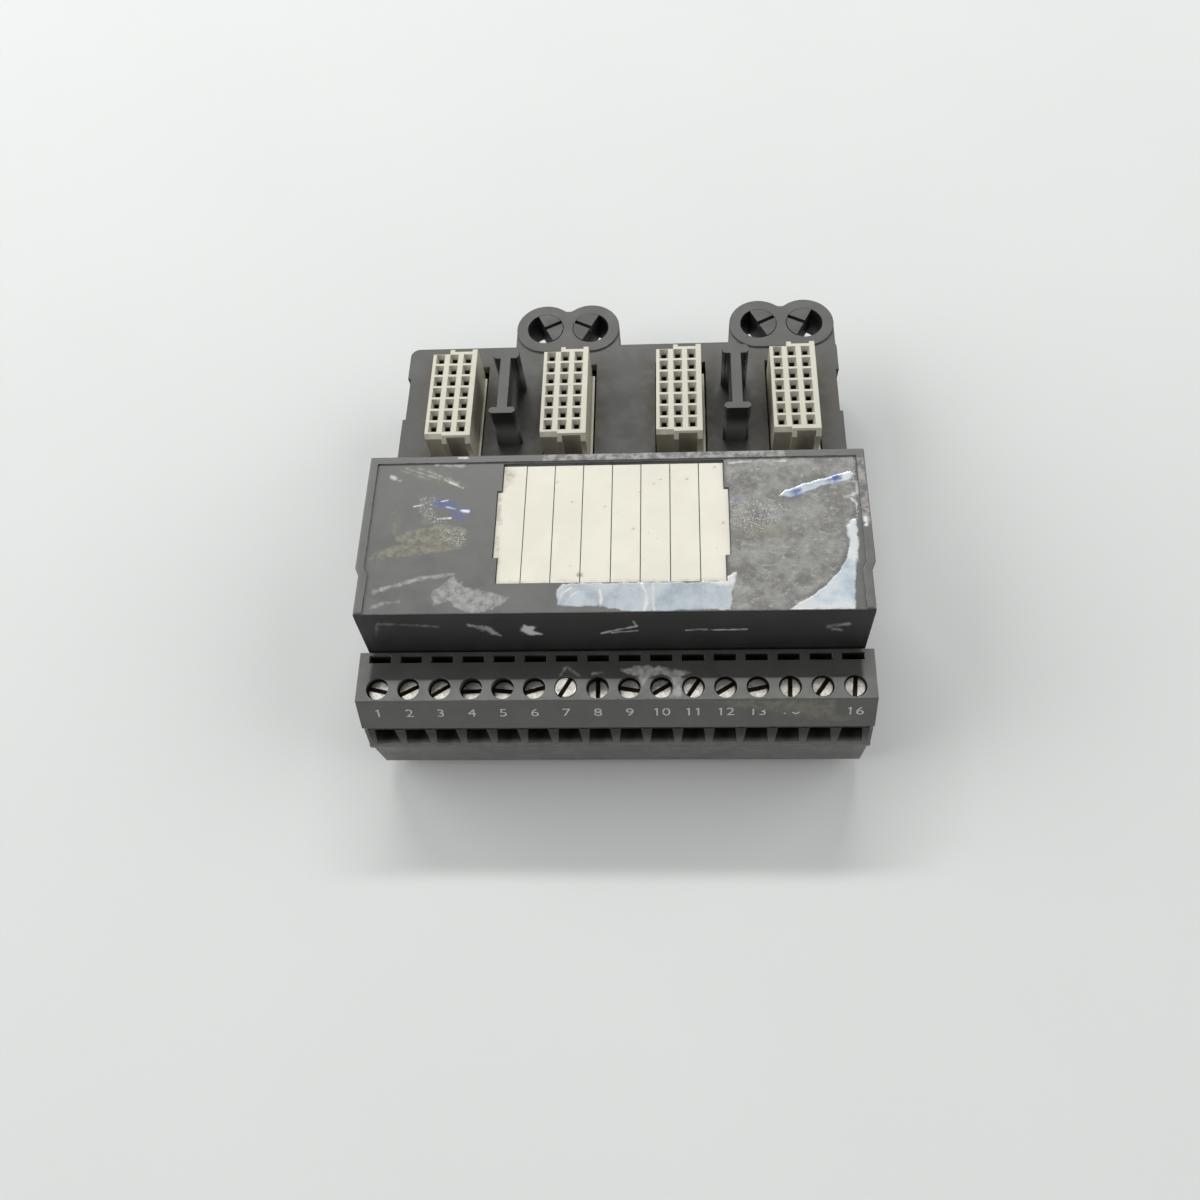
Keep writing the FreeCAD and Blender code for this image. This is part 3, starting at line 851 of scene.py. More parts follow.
STRIP_FOOT, STRIP_CROWN = station("terminal_strip")
TRAY = RubbedFront("tray_plastic", front=station("back_tray")[0].y)
KEY = MouldedPlastic("key_plastic", upper=(0.075, 0.076, 0.073), roughness=0.55)
# The strip's strong pale edges stand partly for painted highlights along the rims of its entries.
STRIP = StripPlastic(
    "strip_plastic", colour=(0.1, 0.1, 0.095), upper=(0.165, 0.166, 0.16), wear=0.75,
    worn=(0.24, 0.24, 0.23), sheltered=STRIP_CROWN.y - SHADOW_LINE_DEPTH, half=STRIP_CROWN.x,
    crown=STRIP_CROWN.z, shoulder=STRIP_FOOT.y + SHOULDER_BACK, ledge=STRIP_CROWN.z - FACE_DROP,
    front=STRIP_FOOT.y)
STAINED_COVER = StainedPlastic("stained_cover_plastic")
STAINED_STRIP = StainedPlastic(
    "stained_strip_plastic", colour=STRIP.colour, upper=STRIP.upper, sheltered=STRIP.sheltered)
# Its sides are painted darker than its tops: partly dirt, partly painted shade.
IVORY = SocketPlastic(
    "socket_plastic", colour=(0.46, 0.436, 0.338), upper=(0.625, 0.606, 0.502), spread=0.05,
    roughness=0.45, grain=6.0, depth=0.006, wear=0.3, worn=(0.78, 0.76, 0.68), dust=0.25,
    dusty=(0.5, 0.45, 0.33))
NICKEL = PlatedMetal("screw_nickel")
BRASS = PlatedMetal(
    "clamp_brass", colour=(0.62, 0.48, 0.24), tarnish=(0.25, 0.17, 0.08), roughness=0.4)
TIN = PlatedMetal("contact_tin", colour=(0.5, 0.46, 0.38), tarnish=(0.2, 0.16, 0.1), roughness=0.4)
SLOT_DIRT = SlotGrime("slot_dirt")
CARD = CardStock("label_card_stock")
NUMBER_PAINT = PrintedPaint("number_paint")
RESIN = BoardResin("board_resin")
FLOOR = FloorFoam("floor_foam")


def wobble(at: np.ndarray, scale: float, seed: int) -> np.ndarray:
    """Smooth random values between minus one and one over a plane.

    Args:
        at: Points in the plane.
        scale: Features in a millimetre.
        seed: Start of the random numbers.

    Returns:
        One value for each point.
    """
    size = 256
    grid = np.random.default_rng(seed).uniform(-1, 1, (size, size))
    place = at * scale + 1000.0
    cell = np.floor(place).astype(int)
    part = place - cell
    part = part * part * (3 - 2 * part)
    i, j = cell[:, 0] % size, cell[:, 1] % size
    i1, j1 = (i + 1) % size, (j + 1) % size
    near = grid[i, j] * (1 - part[:, 0]) + grid[i1, j] * part[:, 0]
    far = grid[i, j1] * (1 - part[:, 0]) + grid[i1, j1] * part[:, 0]
    return near * (1 - part[:, 1]) + far * part[:, 1]


def path_gap(at: np.ndarray, path: Sequence[Point], closed: bool) -> np.ndarray:
    """Distance of points from a path, negative inside a closed one.

    Args:
        at: Points in the plane.
        path: Corners of the path.
        closed: Whether its last corner joins the first.

    Returns:
        One distance for each point.
    """
    corners = np.array(path, float)
    ends = np.roll(corners, -1, axis=0)
    if not closed:
        corners, ends = corners[:-1], ends[:-1]
    gap = np.full(len(at), np.inf)
    inside = np.zeros(len(at), bool)
    for start, end in zip(corners, ends):
        run = end - start
        share = np.clip(((at - start) @ run) / max(run @ run, 1e-9), 0, 1)
        gap = np.minimum(gap, np.linalg.norm(at - start - share[:, None] * run, axis=1))
        if closed:
            crosses = (start[1] > at[:, 1]) != (end[1] > at[:, 1])
            rise = run[1] if abs(run[1]) > 1e-9 else 1e-9
            inside ^= crosses & (at[:, 0] < start[0] + (at[:, 1] - start[1]) / rise * run[0])
    return np.where(inside, -gap, gap)


@dataclass(frozen=True)
class Mark:
    """Patch or stroke of residue drawn on a face.

    A width of zero closes the path to a patch; otherwise the path is a stroke of that width.
    """

    layer: Layer
    path: tuple[Point, ...]
    width: float = 0.0
    soft: float = 0.25
    ragged: float = 0.35
    strength: float = 1.0

    def cover(self, at: np.ndarray) -> np.ndarray:
        """How much of the mark lies on each point.

        Args:
            at: Points in the face's plane.

        Returns:
            A value from zero to the mark's strength for each point.
        """
        gap = path_gap(at, self.path, self.width == 0) - self.width / 2
        gap += self.ragged * (0.65 * wobble(at, 1.1, 3) + 0.35 * wobble(at, 3.1, 5))
        share = np.clip(0.5 - gap / (2 * self.soft), 0, 1)
        return self.strength * share * share * (3 - 2 * share)


@dataclass(frozen=True)
class Rect:
    """Rectangle in a face's own plane."""

    left: float
    right: float
    near: float
    far: float

    def holds(self, at: np.ndarray) -> np.ndarray:
        """Which points lie inside."""
        x, y = at[:, 0], at[:, 1]
        return (x > self.left) & (x < self.right) & (y > self.near) & (y < self.far)


@dataclass(frozen=True)
class Disc:
    """Disc in a face's own plane."""

    x: float
    y: float
    radius: float

    def holds(self, at: np.ndarray) -> np.ndarray:
        """Which points lie inside."""
        return np.hypot(at[:, 0] - self.x, at[:, 1] - self.y) < self.radius


@dataclass(frozen=True)
class Facet:
    """Flat face of the part: an origin and its second axis; the first axis runs along X."""

    origin: Spot
    along: Spot = (0.0, 1.0, 0.0)

    def normal(self) -> Vector:
        """Direction that the face looks in."""
        return Vector((1, 0, 0)).cross(Vector(self.along).normalized())

    def lay(self, at: np.ndarray, lift: np.ndarray) -> np.ndarray:
        """Carry points of the plane to the part's frame.

        Args:
            at: Points in the face's plane.
            lift: How far each is lifted off the face.

        Returns:
            The points in space.
        """
        along = np.array(Vector(self.along).normalized())
        normal = np.array(self.normal())
        laid = np.array(self.origin) + at[:, 1:2] * along + lift[:, None] * normal
        laid[:, 0] += at[:, 0]
        return laid


def settle(work: Work, name: str) -> Mesh:
    """Turn a working mesh into a named one.

    Args:
        work: The working mesh, which is freed.
        name: Name of the new mesh.

    Returns:
        The new mesh.
    """
    made = bpy.data.meshes.new(name)
    work.to_mesh(made)
    work.free()
    return made


def absorb(work: Work, mesh: Mesh) -> None:
    """Move a mesh into a working one."""
    work.from_mesh(mesh)
    bpy.data.meshes.remove(mesh)


def bridge(work: Work, rings: Sequence[Ring], smooth: bool = False) -> None:
    """Join closed rings of points by four-cornered faces.

    Args:
        work: Mesh that the faces go into.
        rings: The rings in order, with as many points each.
        smooth: Whether the faces are shaded smoothly.
    """
    for start, end in zip(rings, rings[1:]):
        for k in range(len(start)):
            n = (k + 1) % len(start)
            work.faces.new((start[k], start[n], end[n], end[k])).smooth = smooth


def finish_in_metres(work: Work, name: str) -> Mesh:
    """Turn a closed working mesh in millimetres into a named mesh in metres.

    Args:
        work: The working mesh, which is freed.
        name: Name of the new mesh.

    Returns:
        The new mesh, with its faces turned outwards.
    """
    bmesh.ops.recalc_face_normals(work, faces=work.faces[:])
    bmesh.ops.scale(work, vec=(MM, MM, MM), verts=work.verts[:])
    return settle(work, name)


@dataclass
class PaintedSheet:
    """Thin closed sheet on a face, fine enough to carry marks on its points."""

    name: str
    facet: Facet
    include: tuple[Rect, ...]
    marks: tuple[Mark, ...]
    exclude: tuple[Union[Rect, Disc], ...] = ()
    step: float = 0.16
    lift: float = 0.02
    thickness: float = 0.06
    relief: Optional[Callable[[np.ndarray, Painted], np.ndarray]] = None

    def lines(self, stops: Sequence[float], low: float, high: float) -> np.ndarray:
        """Grid lines through all the stops, about one step apart.

        Args:
            stops: Where a line has to be.
            low: Least place of a line.
            high: Greatest place of a line.

        Returns:
            The places of the lines, in order.
        """
        ends = sorted({min(max(stop, low), high) for stop in stops})
        runs = [
            np.linspace(a, b, max(1, round((b - a) / self.step)), endpoint=False)
            for a, b in zip(ends, ends[1:])]
        return np.concatenate([*runs, [ends[-1]]])

    def grid(self) -> tuple[np.ndarray, np.ndarray]:
        """Lay out the sheet's upper side.

        Returns:
            Its points in the plane, and its four-cornered cells.
        """
        shapes = [*self.include, *(s for s in self.exclude if isinstance(s, Rect))]
        left, right = min(r.left for r in self.include), max(r.right for r in self.include)
        near, far = min(r.near for r in self.include), max(r.far for r in self.include)
        xs = self.lines([x for r in shapes for x in (r.left, r.right)], left, right)
        ys = self.lines([y for r in shapes for y in (r.near, r.far)], near, far)
        halves = np.meshgrid((xs[1:] + xs[:-1]) / 2, (ys[1:] + ys[:-1]) / 2, indexing="ij")
        middles = np.stack(halves, -1).reshape(-1, 2)
        keep = np.any([r.holds(middles) for r in self.include], axis=0)
        for shape in self.exclude:
            keep &= ~shape.holds(middles)
        row = len(ys)
        i, j = np.divmod(np.flatnonzero(keep), row - 1)
        corner = i * row + j
        cells = np.stack([corner, corner + row, corner + row + 1, corner + 1], axis=1)
        used, cells = np.unique(cells, return_inverse=True)
        points = np.stack([xs[used // row], ys[used % row]], axis=1)
        return points, cells.reshape(-1, 4)

    def mesh(self) -> Mesh:
        """Close the sheet and give its points the marks as numbers.

        Returns:
            The new mesh.
        """
        points, cells = self.grid()
        painted = {layer: np.zeros(len(points)) for layer in Layer}
        for mark in self.marks:
            painted[mark.layer] = np.maximum(painted[mark.layer], mark.cover(points))
        rise = np.full(len(points), self.lift)
        if self.relief:
            rise = rise + self.relief(points, painted)
        upper = self.facet.lay(points, rise) * MM
        sides = np.concatenate([cells[:, [k, (k + 1) % 4]] for k in range(4)])
        _, first, count = np.unique(
            np.sort(sides, axis=1), axis=0, return_index=True, return_counts=True)
        rim = sides[first[count == 1]]
        ring = np.unique(rim)
        foot = np.full(len(ring), self.lift - self.thickness)
        lower = self.facet.lay(points[ring], foot) * MM
        work = bmesh.new()
        verts = [work.verts.new(p) for p in np.concatenate([upper, lower])]
        below = {int(top): verts[len(points) + k] for k, top in enumerate(ring)}
        for cell in cells:
            work.faces.new([verts[k] for k in cell]).smooth = True
        for a, b in rim:
            work.faces.new([verts[b], verts[a], below[int(a)], below[int(b)]])
            work.edges.get((verts[a], verts[b])).smooth = False
        floor = [work.edges.get((below[int(a)], below[int(b)])) for a, b in rim]
        bmesh.ops.triangle_fill(work, use_beauty=True, use_dissolve=False, edges=floor)
        bmesh.ops.recalc_face_normals(work, faces=work.faces[:])
        made = settle(work, self.name)
        for layer, values in painted.items():
            kept = np.concatenate([values, np.zeros(len(ring))]).astype(np.float32)
            made.attributes.new(layer.value, "FLOAT", "POINT").data.foreach_set("value", kept)
        return made


def bevelled(node: str, width: float, sharp: float = 24.0, flat: float = 0.6) -> Mesh:
    """Copy of a CAD node with rounded edges, whose rounded faces carry the number edge.

    Args:
        node: Name of the CAD node.
        width: Width of the rounding in millimetres.
        sharp: Least angle between the faces of an edge that is rounded, in degrees.
        flat: Greatest angle between faces that become one before that, in degrees.

    Returns:
        The new mesh.
    """
    work = bmesh.new()
    work.from_mesh(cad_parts[node].data)
    bmesh.ops.remove_doubles(work, verts=work.verts[:], dist=1e-6)
    bmesh.ops.dissolve_limit(
        work, angle_limit=math.radians(flat), use_dissolve_boundaries=False,
        verts=work.verts[:], edges=work.edges[:])
    worn = work.faces.layers.float.new("edge")
    least = math.radians(sharp)
    edges = [e for e in work.edges if e.is_convex and e.calc_face_angle() > least]
    rounded = bmesh.ops.bevel(
        work, geom=edges, offset=width * MM, offset_type="OFFSET", segments=2, profile=0.6,
        affect="EDGES", clamp_overlap=False)
    for face in rounded["faces"]:
        face[worn] = 1.0
    for face in work.faces:
        face.smooth = True
    return settle(work, node + "_rounded")


def add_piece(
        name: str, mesh: Mesh, finishes: Sequence[Finish], body: str,
        stands_for: Sequence[str] = (), even: bool = False) -> bpy.types.Object:
    """Put a mesh into the scene as a piece of the object.

    Args:
        name: Name of the piece.
        mesh: Its mesh.
        finishes: Finishes of its material slots, in order.
        body: CAD body that it rides on.
        stands_for: CAD nodes that it replaces.
        even: Whether its shading follows its large faces.

    Returns:
        The new object.
    """
    if not mesh.materials:
        for finish in finishes:
            mesh.materials.append(finish.material())
    piece = bpy.data.objects.new(name, mesh)
    bpy.context.scene.collection.objects.link(piece)
    if even:
        normals = piece.modifiers.new("even_normals", "WEIGHTED_NORMAL")
        normals.keep_sharp = True
    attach(piece, body)
    if stands_for:
        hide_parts(*stands_for)
    LOG.info("%s: %d faces on %s", name, len(mesh.polygons), body)
    return piece


def dress_node(node: str, finish: Finish) -> None:
    """Give a CAD node a finish in place of its plain material.

    Args:
        node: Name of the CAD node.
        finish: Its finish.
    """
    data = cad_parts[node].data
    data.materials.clear()
    data.materials.append(finish.material())
    LOG.info("%s: dressed in %s", node, finish.name)


@dataclass
class Housing:
    """Tray, plate and cover, with the residue on the cover."""

    body: str = "block"
    slot: str = "housing"
    tray_round: float = 0.2
    plate_round: float = 0.08
    cover_round: float = 0.1
    lip: float = 1.5
    rubbed_rear: Point = (-12.0, 28.4)
    rubbed_side: Point = (14.5, 2.0)
    flaked_rear: Stretch = ((-26.4, 0.75), (-24.6, 0.4))
    flaked_side: Stretch = ((1.3, 14.9), (0.7, 13.1))
    panel_drop: float = 0.3
    play: float = 0.15
    rear_play: float = 0.45
    tuck: float = 0.1
    front_lean: float = 3.005
    front_drop: float = 7.92
    front_half: float = 39.6
    front_span: Point = (0.3, 7.9)
    wrinkle: float = 0.05
    crust: float = 0.02

    def tape_relief(self, at: np.ndarray, painted: Painted) -> np.ndarray:
        """Height of the wrinkled tape, glue and flakes over the panel.

        Args:
            at: Points of the panel.
            painted: How much of each layer lies on them.

        Returns:
            The height of each point.
        """
        waves = np.sin(at[:, 0] * 1.9 + 2.2 * wobble(at, 0.5, 11))
        ripple = 0.5 + 0.5 * waves * wobble(at, 0.35, 12)
        tape = painted[Layer.FILM] * (self.crust + self.wrinkle * ripple)
        glue = self.crust * painted[Layer.GLUE] * (0.5 + 0.5 * wobble(at, 1.6, 13))
        return tape + glue + self.crust * painted[Layer.FLAKE]

    def top_marks(self) -> tuple[Mark, ...]:
        """Residue on the cover's panel: left of the labels, right of them and below.

        Returns:
            The marks, measured from the panel's rear edge.
        """
        glue, dull, scuff, film = Layer.GLUE, Layer.DULL, Layer.SCUFF, Layer.FILM
        flake, ink, glitter = Layer.FLAKE, Layer.INK, Layer.GLITTER
        left = (
            Mark(glue, ((-39.3, -19.6), (-31.5, -18.9), (-25.6, -18.2), (-23.6, -16.1),
                (-24.2, -14), (-28.5, -13.3), (-33.6, -14.4), (-35.6, -15.5), (-34.4, -16.9),
                (-38.7, -18.4)), strength=0.85),
            Mark(glue, ((-36.8, -11.1), (-35.8, -10.6), (-34.8, -12.9), (-35, -15.5),
                (-36.2, -15.2)), strength=0.35),
            Mark(glue, ((-32.5, -8.3), (-30.4, -8), (-29.8, -11.3), (-30.1, -13.6), (-31.5, -13.8)),
                strength=0.4),
            Mark(glue, ((-36.2, -2.2), (-33, -2), (-28, -3.6), (-24.6, -6), (-25.6, -6.6),
                (-30, -5.2), (-35, -4)), soft=0.6, ragged=0.5, strength=0.4),
            Mark(scuff, ((-35.2, -2.3), (-29.2, -4.5)), width=0.16, ragged=0.08, soft=0.1),
            Mark(scuff, ((-36.1, -2.6), (-31.7, -4.3)), width=0.14, ragged=0.08, soft=0.1,
                strength=0.8),
            Mark(scuff, ((-33.1, -2.3), (-27.3, -4.5)), width=0.14, ragged=0.08, soft=0.1,
                strength=0.8),
            Mark(scuff, ((-34.6, -3.2), (-30.6, -4.7)), width=0.12, ragged=0.08, soft=0.1,
                strength=0.6),
            Mark(scuff, ((-32, -2.8), (-25.8, -5.5)), width=0.16, ragged=0.1, soft=0.1,
                strength=0.8),
            Mark(flake, ((-28.4, -4.7), (-25.1, -6.4)), width=0.2, ragged=0.15, soft=0.12,
                strength=0.8),
            Mark(scuff, ((-30.1, -1.6), (-25.5, -2.1)), width=0.4),
            Mark(flake, ((-37.5, -3.9), (-35.9, -4.8)), width=0.3, strength=0.6),
            Mark(ink, ((-29.6, -9.3), (-26.2, -9.6)), width=0.8, soft=0.4, ragged=0.4,
                strength=0.8),
            Mark(ink, ((-27, -10.1), (-23.6, -10.8)), width=0.6, soft=0.3, ragged=0.35,
                strength=0.8),
            Mark(ink, ((-26, -11.5), (-24.2, -12.2)), width=0.7, soft=0.4, ragged=0.4,
                strength=0.6),
            Mark(flake, ((-28.9, -12.2), (-26.7, -12.1)), width=0.18, ragged=0.1, soft=0.1),
            Mark(flake, ((-25.2, -10.7), (-23.9, -10.9)), width=0.3, ragged=0.2, soft=0.15),
            Mark(flake, ((-28.5, -8.9), (-27.5, -8.7)), width=0.18, ragged=0.1, soft=0.1),
            Mark(flake, ((-33.1, -9.8), (-31.9, -9.6)), width=0.16, ragged=0.1, soft=0.1),
            Mark(flake, ((-27.6, -10), (-26, -10.4)), width=0.14, ragged=0.1, soft=0.1,
                strength=0.8),
            Mark(glitter, ((-32.4, -8), (-29.6, -8), (-29.4, -11.2), (-27.5, -13), (-29.4, -13.6),
                (-31.6, -11.2)), soft=0.5, strength=0.8),
            Mark(glitter, ((-28.3, -13.8), (-24.2, -14.4), (-23.8, -16.4), (-24.7, -17.8),
                (-28.5, -15.6)), soft=0.6),
            Mark(scuff, ((-37.9, -25.4), (-34.8, -24.3), (-31.2, -23.2), (-25.2, -22.4)),
                width=0.55, strength=0.8),
            Mark(scuff, ((-28.6, -25.9), (-25.2, -22.5), (-23.6, -24.7), (-18.9, -25.6),
                (-16.2, -26.7), (-17.9, -28.6), (-22.9, -29.3), (-25.9, -27.2), (-27.9, -27.5)),
                ragged=0.6, strength=0.75),
            Mark(scuff, ((-37.8, -28.1), (-36.5, -27.4), (-33.8, -27.2)), width=0.4, strength=0.7),
        )
        right = (
            Mark(dull, ((18.3, -1.6), (39.7, -1.6), (38.6, -13.4), (37.7, -17.5), (35.5, -22.7),
                (29.8, -27.7), (27.7, -29.3), (18.5, -29.3), (18.9, -24.7), (18.6, -20.1),
                (18.8, -6.8)), soft=0.4),
            Mark(glitter, ((19.2, -9.9), (22.9, -9.4), (27.6, -9.8), (27.2, -13.4), (23.5, -15.6),
                (19.4, -15)), soft=0.9),
            Mark(scuff, ((19, -2), (26, -1.7), (33, -2.3), (33, -2.7), (24, -2.9), (19, -4.6)),
                soft=0.4, ragged=0.5, strength=0.6),
            Mark(flake, ((19.2, -2.4), (23.5, -2.1), (28.5, -2.2)), width=0.12, ragged=0.15,
                soft=0.12, strength=0.7),
            Mark(scuff, ((28, -10.4), (31, -9.6), (33.6, -10.8), (32.6, -14.6), (29.4, -14)),
                soft=0.9, ragged=0.8, strength=0.35),
            Mark(flake, ((38.6, -9.6), (39.4, -10.6), (39.2, -12.2)), width=0.3, ragged=0.3,
                soft=0.15, strength=0.8),
            Mark(glue, ((19.4, -11.7), (22.7, -13.1), (29.2, -13.9), (29, -16.8), (19.2, -17.1)),
                soft=0.6, strength=0.4),
            Mark(scuff, ((20.5, -16.9), (29, -16.6), (28.6, -18.8), (20.6, -19.6)), soft=0.35,
                strength=0.4),
            Mark(film, ((37.5, -14.8), (38.6, -13.4), (39.1, -13.4), (39, -18.8), (38.3, -21.9),
                (37.5, -29.2), (27.7, -29.2), (30.9, -27.2), (33.6, -25.2), (35.8, -22.7),
                (37.2, -20.4), (37.7, -17.8)), soft=0.12, ragged=0.2),
            Mark(flake, ((37.6, -14.8), (38.6, -13.5), (39, -13.5), (38.9, -18.8), (38.4, -21.4),
                (37.4, -20.4), (37.8, -17.8)), soft=0.4, strength=0.7),
            Mark(flake, ((30.4, -27.2), (33.1, -28.7), (37.4, -28.1), (37.4, -29.2), (28, -29.2)),
                soft=0.4, strength=0.6),
            Mark(film, ((26.9, -8.9), (28.4, -7.8), (31.1, -6.7), (38.8, -4.5), (39.5, -4.9),
                (38.8, -6), (34.1, -7.1), (30.7, -8.6), (28.9, -9.2)), soft=0.12, ragged=0.15),
            Mark(ink, ((29.5, -8.2), (30.5, -7.8)), width=1.2, soft=0.5, ragged=0.6),
            Mark(ink, ((35.4, -6.1), (36.6, -5.6)), width=1.2, soft=0.5, ragged=0.6),
            Mark(flake, ((38.1, -6.1), (39.7, -6.5), (39.7, -8.6), (37.8, -9.3)), width=0.3,
                strength=0.5),
            Mark(flake, ((27.6, -29.4), (31, -29.2), (34.3, -29.4), (37.2, -29.2)), width=0.35,
                ragged=0.3, soft=0.15),
            Mark(ink, ((19.9, -9.6), (20.5, -9.5)), width=0.5, soft=0.3, strength=0.5),
            Mark(glitter, ((39.3, -2), (39.3, -13)), width=0.9, soft=0.4),
        )
        below = (
            Mark(film, ((-8.5, -28.2), (-8.6, -25.6), (-7.7, -24.4), (16.8, -24.3), (19.6, -22.8),
                (18.9, -26.3), (18.5, -29.2), (9.8, -29.2), (2.6, -29.2), (-1.7, -28.4)), soft=0.12,
                ragged=0.25, strength=0.8),
            Mark(flake, ((4.8, -24.7), (5.5, -26.1), (5.6, -27.7), (5.2, -29.1)), width=0.3,
                ragged=0.15),
            Mark(flake, ((6.5, -24.8), (6.7, -29.2)), width=0.25, ragged=0.15, strength=0.8),
            Mark(flake, ((-1.8, -25.7), (-1.5, -27), (-1.7, -28.3)), width=0.35, ragged=0.2),
            Mark(flake, ((-8.4, -27.8), (-7.7, -26.1), (-6.3, -25.1)), width=0.16, ragged=0.1,
                soft=0.12, strength=0.8),
            Mark(flake, ((-7.2, -28), (-6.4, -26.6), (-5.1, -25.7)), width=0.14, ragged=0.1,
                soft=0.12, strength=0.7),
            Mark(flake, ((15.6, -24.5), (18.5, -23.4), (19.6, -22.8), (19.1, -24.7), (17, -25.3)),
                soft=0.3, strength=0.8),
        )
        return left + right + below

    def front_marks(self) -> tuple[Mark, ...]:
        """Scratches and flakes on the cover's front wall.

        Returns:
            The marks.
        """
        scuff, flake = Layer.SCUFF, Layer.FLAKE
        return (
            Mark(scuff, ((-37.1, 6.4), (-33.6, 6.2), (-30.5, 6), (-27.8, 5.6)), width=0.35,
                strength=0.6),
            Mark(scuff, ((-37.4, 6.3), (-38, 4.2)), width=0.3, strength=0.3),
            Mark(scuff, ((-22.9, 6.05), (-20.7, 5.95), (-19.1, 5.4), (-17.8, 3.3), (-20.7, 4.6)),
                soft=0.2, strength=0.9),
            Mark(flake, ((-14.6, 4.7), (-13.9, 6), (-13.1, 5.5), (-12, 5.3), (-12.8, 4.7),
                (-11.2, 3.7), (-13.6, 3.5)), soft=0.2, strength=0.8),
            Mark(flake, ((-1.7, 3.8), (0.1, 4.35), (3.9, 5.3), (3.4, 6.4)), width=0.2, ragged=0.15,
                soft=0.15, strength=0.8),
            Mark(flake, ((-0.2, 3.9), (4, 4.3)), width=0.16, ragged=0.12, soft=0.12, strength=0.7),
            Mark(flake, ((11.6, 4.3), (13.8, 4.45), (16.7, 4.3), (21.3, 4.4)), width=0.16,
                ragged=0.1, soft=0.12, strength=0.8),
            Mark(scuff, ((33.9, 4.9), (36.9, 5.3)), width=0.35, strength=0.7),
            Mark(scuff, ((34.4, 4.3), (36, 4)), width=0.3, strength=0.6),
        )

    def worn_cover(self, corner: Vector) -> WornLip:
        """Finish of the cover, worn along its rear and right lips.

        Args:
            corner: Highest corner of the cover.

        Returns:
            The finish.
        """
        x, y = corner.x, corner.y
        (left, right), (far, near) = self.rubbed_rear, self.rubbed_side
        # Strong pale edges on the cover: partly rubbed wear, partly painted highlight along its
        # lips.
        return WornLip(
            "cover_plastic", wear=0.75, level=corner.z,
            rubbed=(((left, y - self.lip), (right, y)), ((x - self.lip, y - far), (x, y - near))),
            flaked=(tuple((a, y - b) for a, b in self.flaked_rear),
                    tuple((x - a, y - b) for a, b in self.flaked_side)))

    def grimy_plate(self) -> GrimyPlate:
        """Finish of the plate, with grime round the sockets.

        Returns:
            The finish.
        """
        low, high = station("card_socket_1")
        return GrimyPlate(
            "plate_plastic", upper=(0.1, 0.1, 0.096), roughness=0.58,
            first=((low.x + high.x) / 2, (low.y + high.y) / 2),
            spacing=station("card_socket_2")[0].x - low.x,
            half=((high.x - low.x) / 2, (high.y - low.y) / 2))

    def panel(self, low: Vector, high: Vector) -> PaintedSheet:
        """Sheet over the cover's top, open round the labels and measured from the rear edge.

        Args:
            low: Lowest corner of the cover.
            high: Highest corner of the cover.

        Returns:
            The sheet.
        """
        card_low, card_high = station("label_card")
        side = high.x - self.lip + self.tuck
        front = low.y + self.front_lean + self.tuck
        rear = high.y - self.lip + self.tuck
        near = card_low.y + TAB_NEAR
        far = near + TAB_LENGTH
        labels = Rect(
            card_low.x + TAB_WIDTH - self.play, card_high.x - TAB_WIDTH + self.play,
            card_low.y - self.play - high.y, card_high.y + self.rear_play - high.y)
        tabs = Rect(
            card_low.x - self.play, card_high.x + self.play,
            near - self.play - high.y, far + self.play - high.y)
        return PaintedSheet(
            "cover_panel", Facet((0.0, high.y, high.z - self.panel_drop)),
            (Rect(-side, side, front - high.y, rear - high.y),), self.top_marks(),
            exclude=(labels, tabs), relief=self.tape_relief)

    def build(self) -> None:
        """Build the three mouldings and the two painted sheets."""
        low, high = station("terminal_cover")
        for name, node, width, finish in (
                ("tray", "back_tray", self.tray_round, TRAY),
                ("plate", "socket_plate", self.plate_round, self.grimy_plate()),
                ("cover", "terminal_cover", self.cover_round, self.worn_cover(high))):
            add_piece(name, bevelled(node, width), [finish], self.body, [node], True)
        foot = (0.0, low.y, high.z - self.panel_drop - self.front_drop)
        wall = PaintedSheet(
            "cover_front", Facet(foot, (0.0, self.front_lean, self.front_drop)),
            (Rect(-self.front_half, self.front_half, *self.front_span),), self.front_marks(),
            step=0.2, lift=0.015)
        for sheet in (self.panel(low, high), wall):
            add_piece(sheet.name, sheet.mesh(), [STAINED_COVER], self.body)


